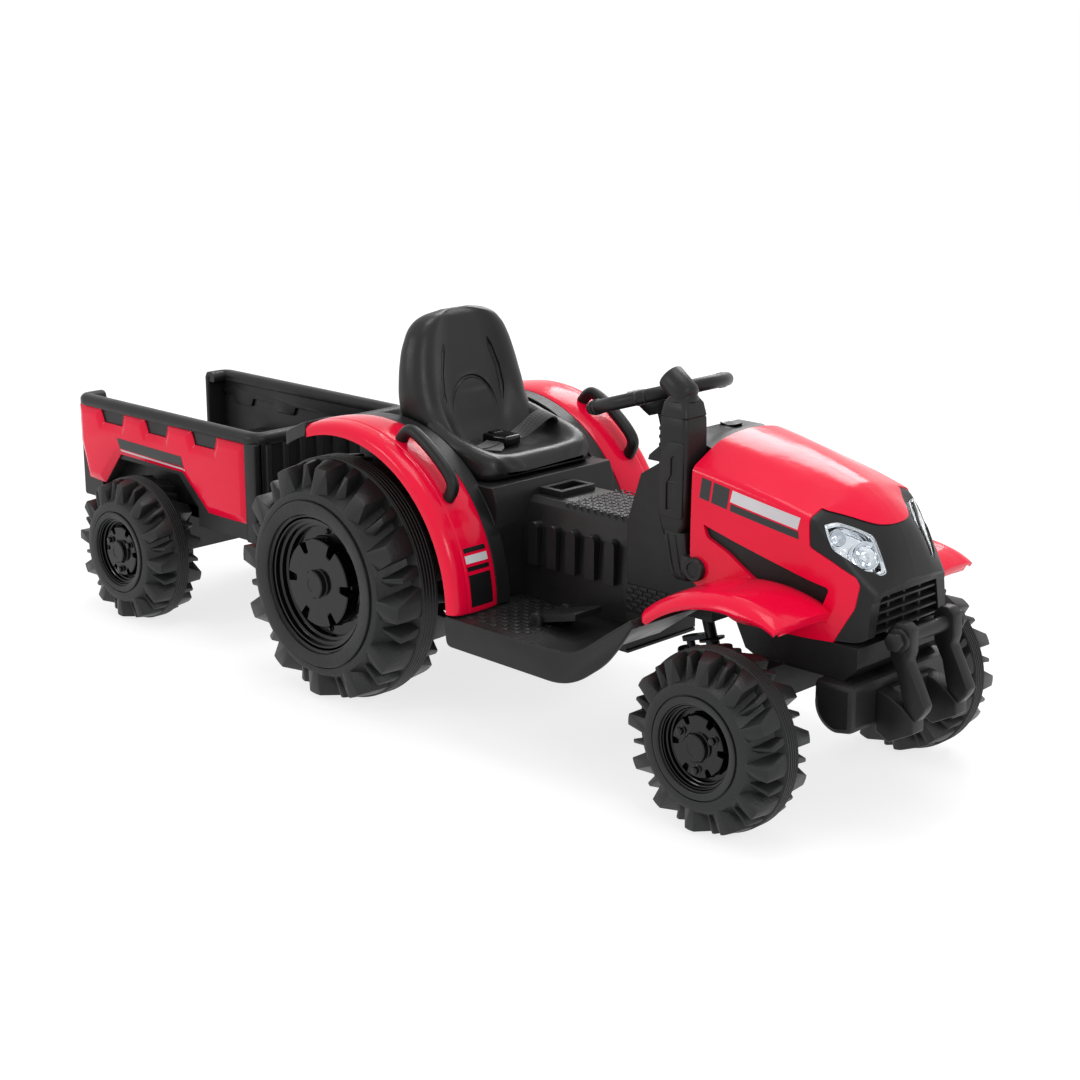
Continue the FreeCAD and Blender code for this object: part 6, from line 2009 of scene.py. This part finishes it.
@dataclass
class FloorGrips:
    """Raised bricks on the footboards, toe-boards and walls, and chequer marks on the tunnel."""

    chequer: tuple = ((-4.6, 0), (-2, -1.2), (2, -1.2), (4.6, 0), (2, 1.2), (-2, 1.2))

    def build(self) -> None:
        """Make every grip pattern."""
        parts = []
        for side in Side:
            sign = side.value
            for shift in (0.0, 9.0):
                y = sign * 126 + shift
                toe = (453 + shift * 0.67, y, 181.7 + shift * 0.477)
                wall = (401 + shift * 0.77, sign * 62.7, 180 + shift * 0.55)
                parts += [patch(self.brick(), (4, 6), (48, 90), toe, (0, -35.5)),
                          patch(self.brick(), (4, 3), (42, 21), wall, (sign * -90, 0)),
                          patch(self.brick(), (5, 6), (72, 90), (268 + shift, y, 149.9), (0, 1.3))]
        deliver(merge(parts, "footboard_grips"))
        marks = []
        for bearing, shift in ((-45, 0.0), (45, 5.4)):
            mark = Shape("chequer").prism(self.chequer, -0.6, 0.8, "XY").round_edges(0.4, 1)
            mark.move(Matrix.Rotation(radians(bearing), 3, "Z"))
            marks.append(patch(mark, (10, 9), (97, 86), (311 + shift, shift, 268)))
        deliver(merge(marks, "tunnel_chequer"))

    @staticmethod
    def brick() -> Shape:
        """One raised brick round the zero point."""
        return Shape("brick").prism(rectangle((-5.5, -3), (5.5, 3)), -0.8, 1.1, "XY").round_edges(0.7, 2)


@dataclass
class SteeringWheel:
    """Grained black wheel: a ringed rim on three tapered arms and a deep hub."""

    foot: Triple = (450, 0, 136)
    tilt: float = 17.2
    plane: float = 284.0
    rim: float = 77.0
    button_y: float = 40.0
    bore: float = 9.4
    # Angles of the rings round the rim and of the arms
    rings: tuple = (60, 67, 113, 120, -60, -67, -113, -120)
    arms: tuple = (90, -90, 180)
    # Arm sections: distance from the middle, half width, lower and upper face
    arm: tuple = ((14, 15, -10, 7), (30, 13.5, -8, 7), (50, 12, -7, 7), (66, 10.5, -5.5, 6), (74, 10, -4, 4))
    hub: tuple = ((0.02, 7.2), (24, 7.2), (27, 5.4), (28, 2), (27, -7), (22, -15), (17, -22), (0.02, -22))

    def build(self) -> None:
        """Make the rim, its rings, the bored arms and the hub."""
        shapes = [Shape("wheel_rim").turn(circle(8, 32, (self.rim, 0)), (0, 0, 0), 96, "Z")]
        for bearing in self.rings:
            angles = [radians(bearing + k) for k in (-1, 0, 1)]
            path = [(self.rim * cos(a), self.rim * sin(a), 0) for a in angles]
            shapes.append(Shape("wheel_ring").tube(path, (8.1, 9.0, 8.1), 24))
        parts = [self.placed(shape) for shape in shapes]
        for bearing in self.arms:
            arm = Shape("wheel_arm").loft([[(r, y, z) for y, z in rectangle((-w, low), (w, high))]
                                           for r, w, low, high in self.arm])
            piece = self.placed(arm.round_edges(2.4, 3).move(Matrix.Rotation(radians(bearing), 3, "Z")))
            for y in (self.button_y, -self.button_y):
                well = Shape("button_well").prism(circle(self.bore, 32, (0, y)), -3, 14, "XY")
                boolean(piece, self.placed(well))
            parts.append(shade(piece))
        parts.append(self.placed(Shape("wheel_hub").turn(self.hub, (0, 0, 0), 48, "Z")))
        deliver(merge(parts, "grip_wheel"), "steering_wheel", body="steering")

    def placed(self, shape: Shape) -> Piece:
        """Lean a shape made round the hub and set it on the column."""
        lean = Matrix.Rotation(radians(-self.tilt), 3, "Y")
        spot = Vector(self.foot) + lean @ Vector((0, 0, self.plane))
        return shape.move(lean, spot).object(40)


@dataclass
class Footboards:
    """Black footboards: a skirt with round corners, the floor with its toe-board, and the pedal's ears."""

    # Side outline with the reach of each round corner
    skirt: tuple = (
        (208, 133, 0), (209.9, 115.6, 15), (404, 111.8, 40), (456.7, 149.4, 20), (477, 174.4, 12),
        (497, 203, 2), (491.5, 207.8, 2), (459.6, 186.4, 16), (421.8, 159, 20), (398.6, 150.4, 12),
        (339.1, 148.5, 30), (207.2, 151.4, 3))
    floor: tuple = (
        (207.2, 143.7), (339.1, 140.8), (401.5, 142.7), (426.2, 151.4), (462.5, 177.3), (495.8, 199.4),
        (491.5, 207.8), (459.6, 186.4), (421.8, 159), (398.6, 150.4), (339.1, 148.5), (207.2, 151.4))
    # Inner wall from the floor up to the cowl
    wall: tuple = (
        (374, 147), (398.6, 149.4), (421.8, 158), (459.6, 185.4), (476, 196.6), (476, 198.2), (374, 198.2))
    # The pedal's pin as X and Z, and the ears beside the pedal as near and far distance from its middle
    pin: Pair = (302.9, 156.0)
    pedal_y: float = -112.0
    ear_spans: tuple = ((22.4, 27.2), (-27.2, -22.4))
    # Outline of an ear round the pin
    ear: tuple = ((-8, -11), (8, -11), (8, 3), (3, 8), (-3, 8), (-8, 3))

    def build(self) -> None:
        """Make both footboards."""
        run = [corner[:2] for corner in self.skirt]
        outline = rounded(run + run[:1], [corner[2] for corner in self.skirt[1:]], 8)[:-1]
        for side in Side:
            floor = Shape("board_floor").prism(self.floor, 62.4, 187).round_edges(1, 2, 50).flip_to(side)
            parts = [slab("board_skirt", outline, 183.6, 189.9, "XZ", 2.6, 3, 40, side),
                     floor.object(40),
                     slab("board_wall", self.wall, 59.6, 62.6, sharp=40, side=side)]
            if side is Side.RIGHT:
                parts += self.ears()
            deliver(merge(parts, f"footboard_moulding_{side.word}"), f"footboard_{side.word}")

    def ears(self) -> list[Piece]:
        """Two bored ears that hold the pedal's pin.

        Returns:
            The ears.
        """
        outline = [(self.pin[0] + u, self.pin[1] + v) for u, v in self.ear]
        pieces = []
        for near, far in self.ear_spans:
            ear = slab("pedal_ear", outline, self.pedal_y + near, self.pedal_y + far, "XZ", 0.6, 1)
            pieces.append(shade(boolean(ear, slab("ear_bore", circle(3.4, 24, self.pin), -160, -60))))
        return pieces


# Sizes of the driven wheels
BIG_WHEEL = {
    "radius": 151, "half": 53, "band": 13, "floor": 135, "sidewall": 113, "bead": 101, "ring": 86, "web": 19,
    "back_radius": 84, "back": -23, "hub": 22, "lip": 55.8, "disc": 55, "disc_top": 47, "boss": 17,
    "boss_top": 55.4, "notch": 15, "notch_half": 6.0, "nuts": 6, "nut_ring": 62, "nut_size": 3.2}
# Wheels: kind, X, Y, how far the hub reaches inwards, and sizes
WHEELS = (("rear", 0, 158, 55.6, BIG_WHEEL), ("front", 600, 171, 46.6, {}),
          ("trailer", -450, 146, 53.6, {}))


def main() -> None:
    """Build the studio and every sub-assembly in order."""
    logging.basicConfig(level=logging.INFO, format="%(message)s")
    Studio().build()
    for side in Side:
        for kind, x, y, reach, sizes in WHEELS:
            LuggedWheel(kind, side, x, y, reach, **sizes).build()
    for assembly in (Bonnet(), BucketSeat(), Fenders(), Linkage(), Exhaust(), TrailerSides(), FloorGrips(),
                     SteeringWheel(), TrailerTub(), Footboards(), MouldedNodes()):
        assembly.build()
    sizes = {"cad": [list(corner) for corner in CAD_BOX], "visual": [list(corner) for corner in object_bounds()]}


if __name__ == "__main__":
    main()
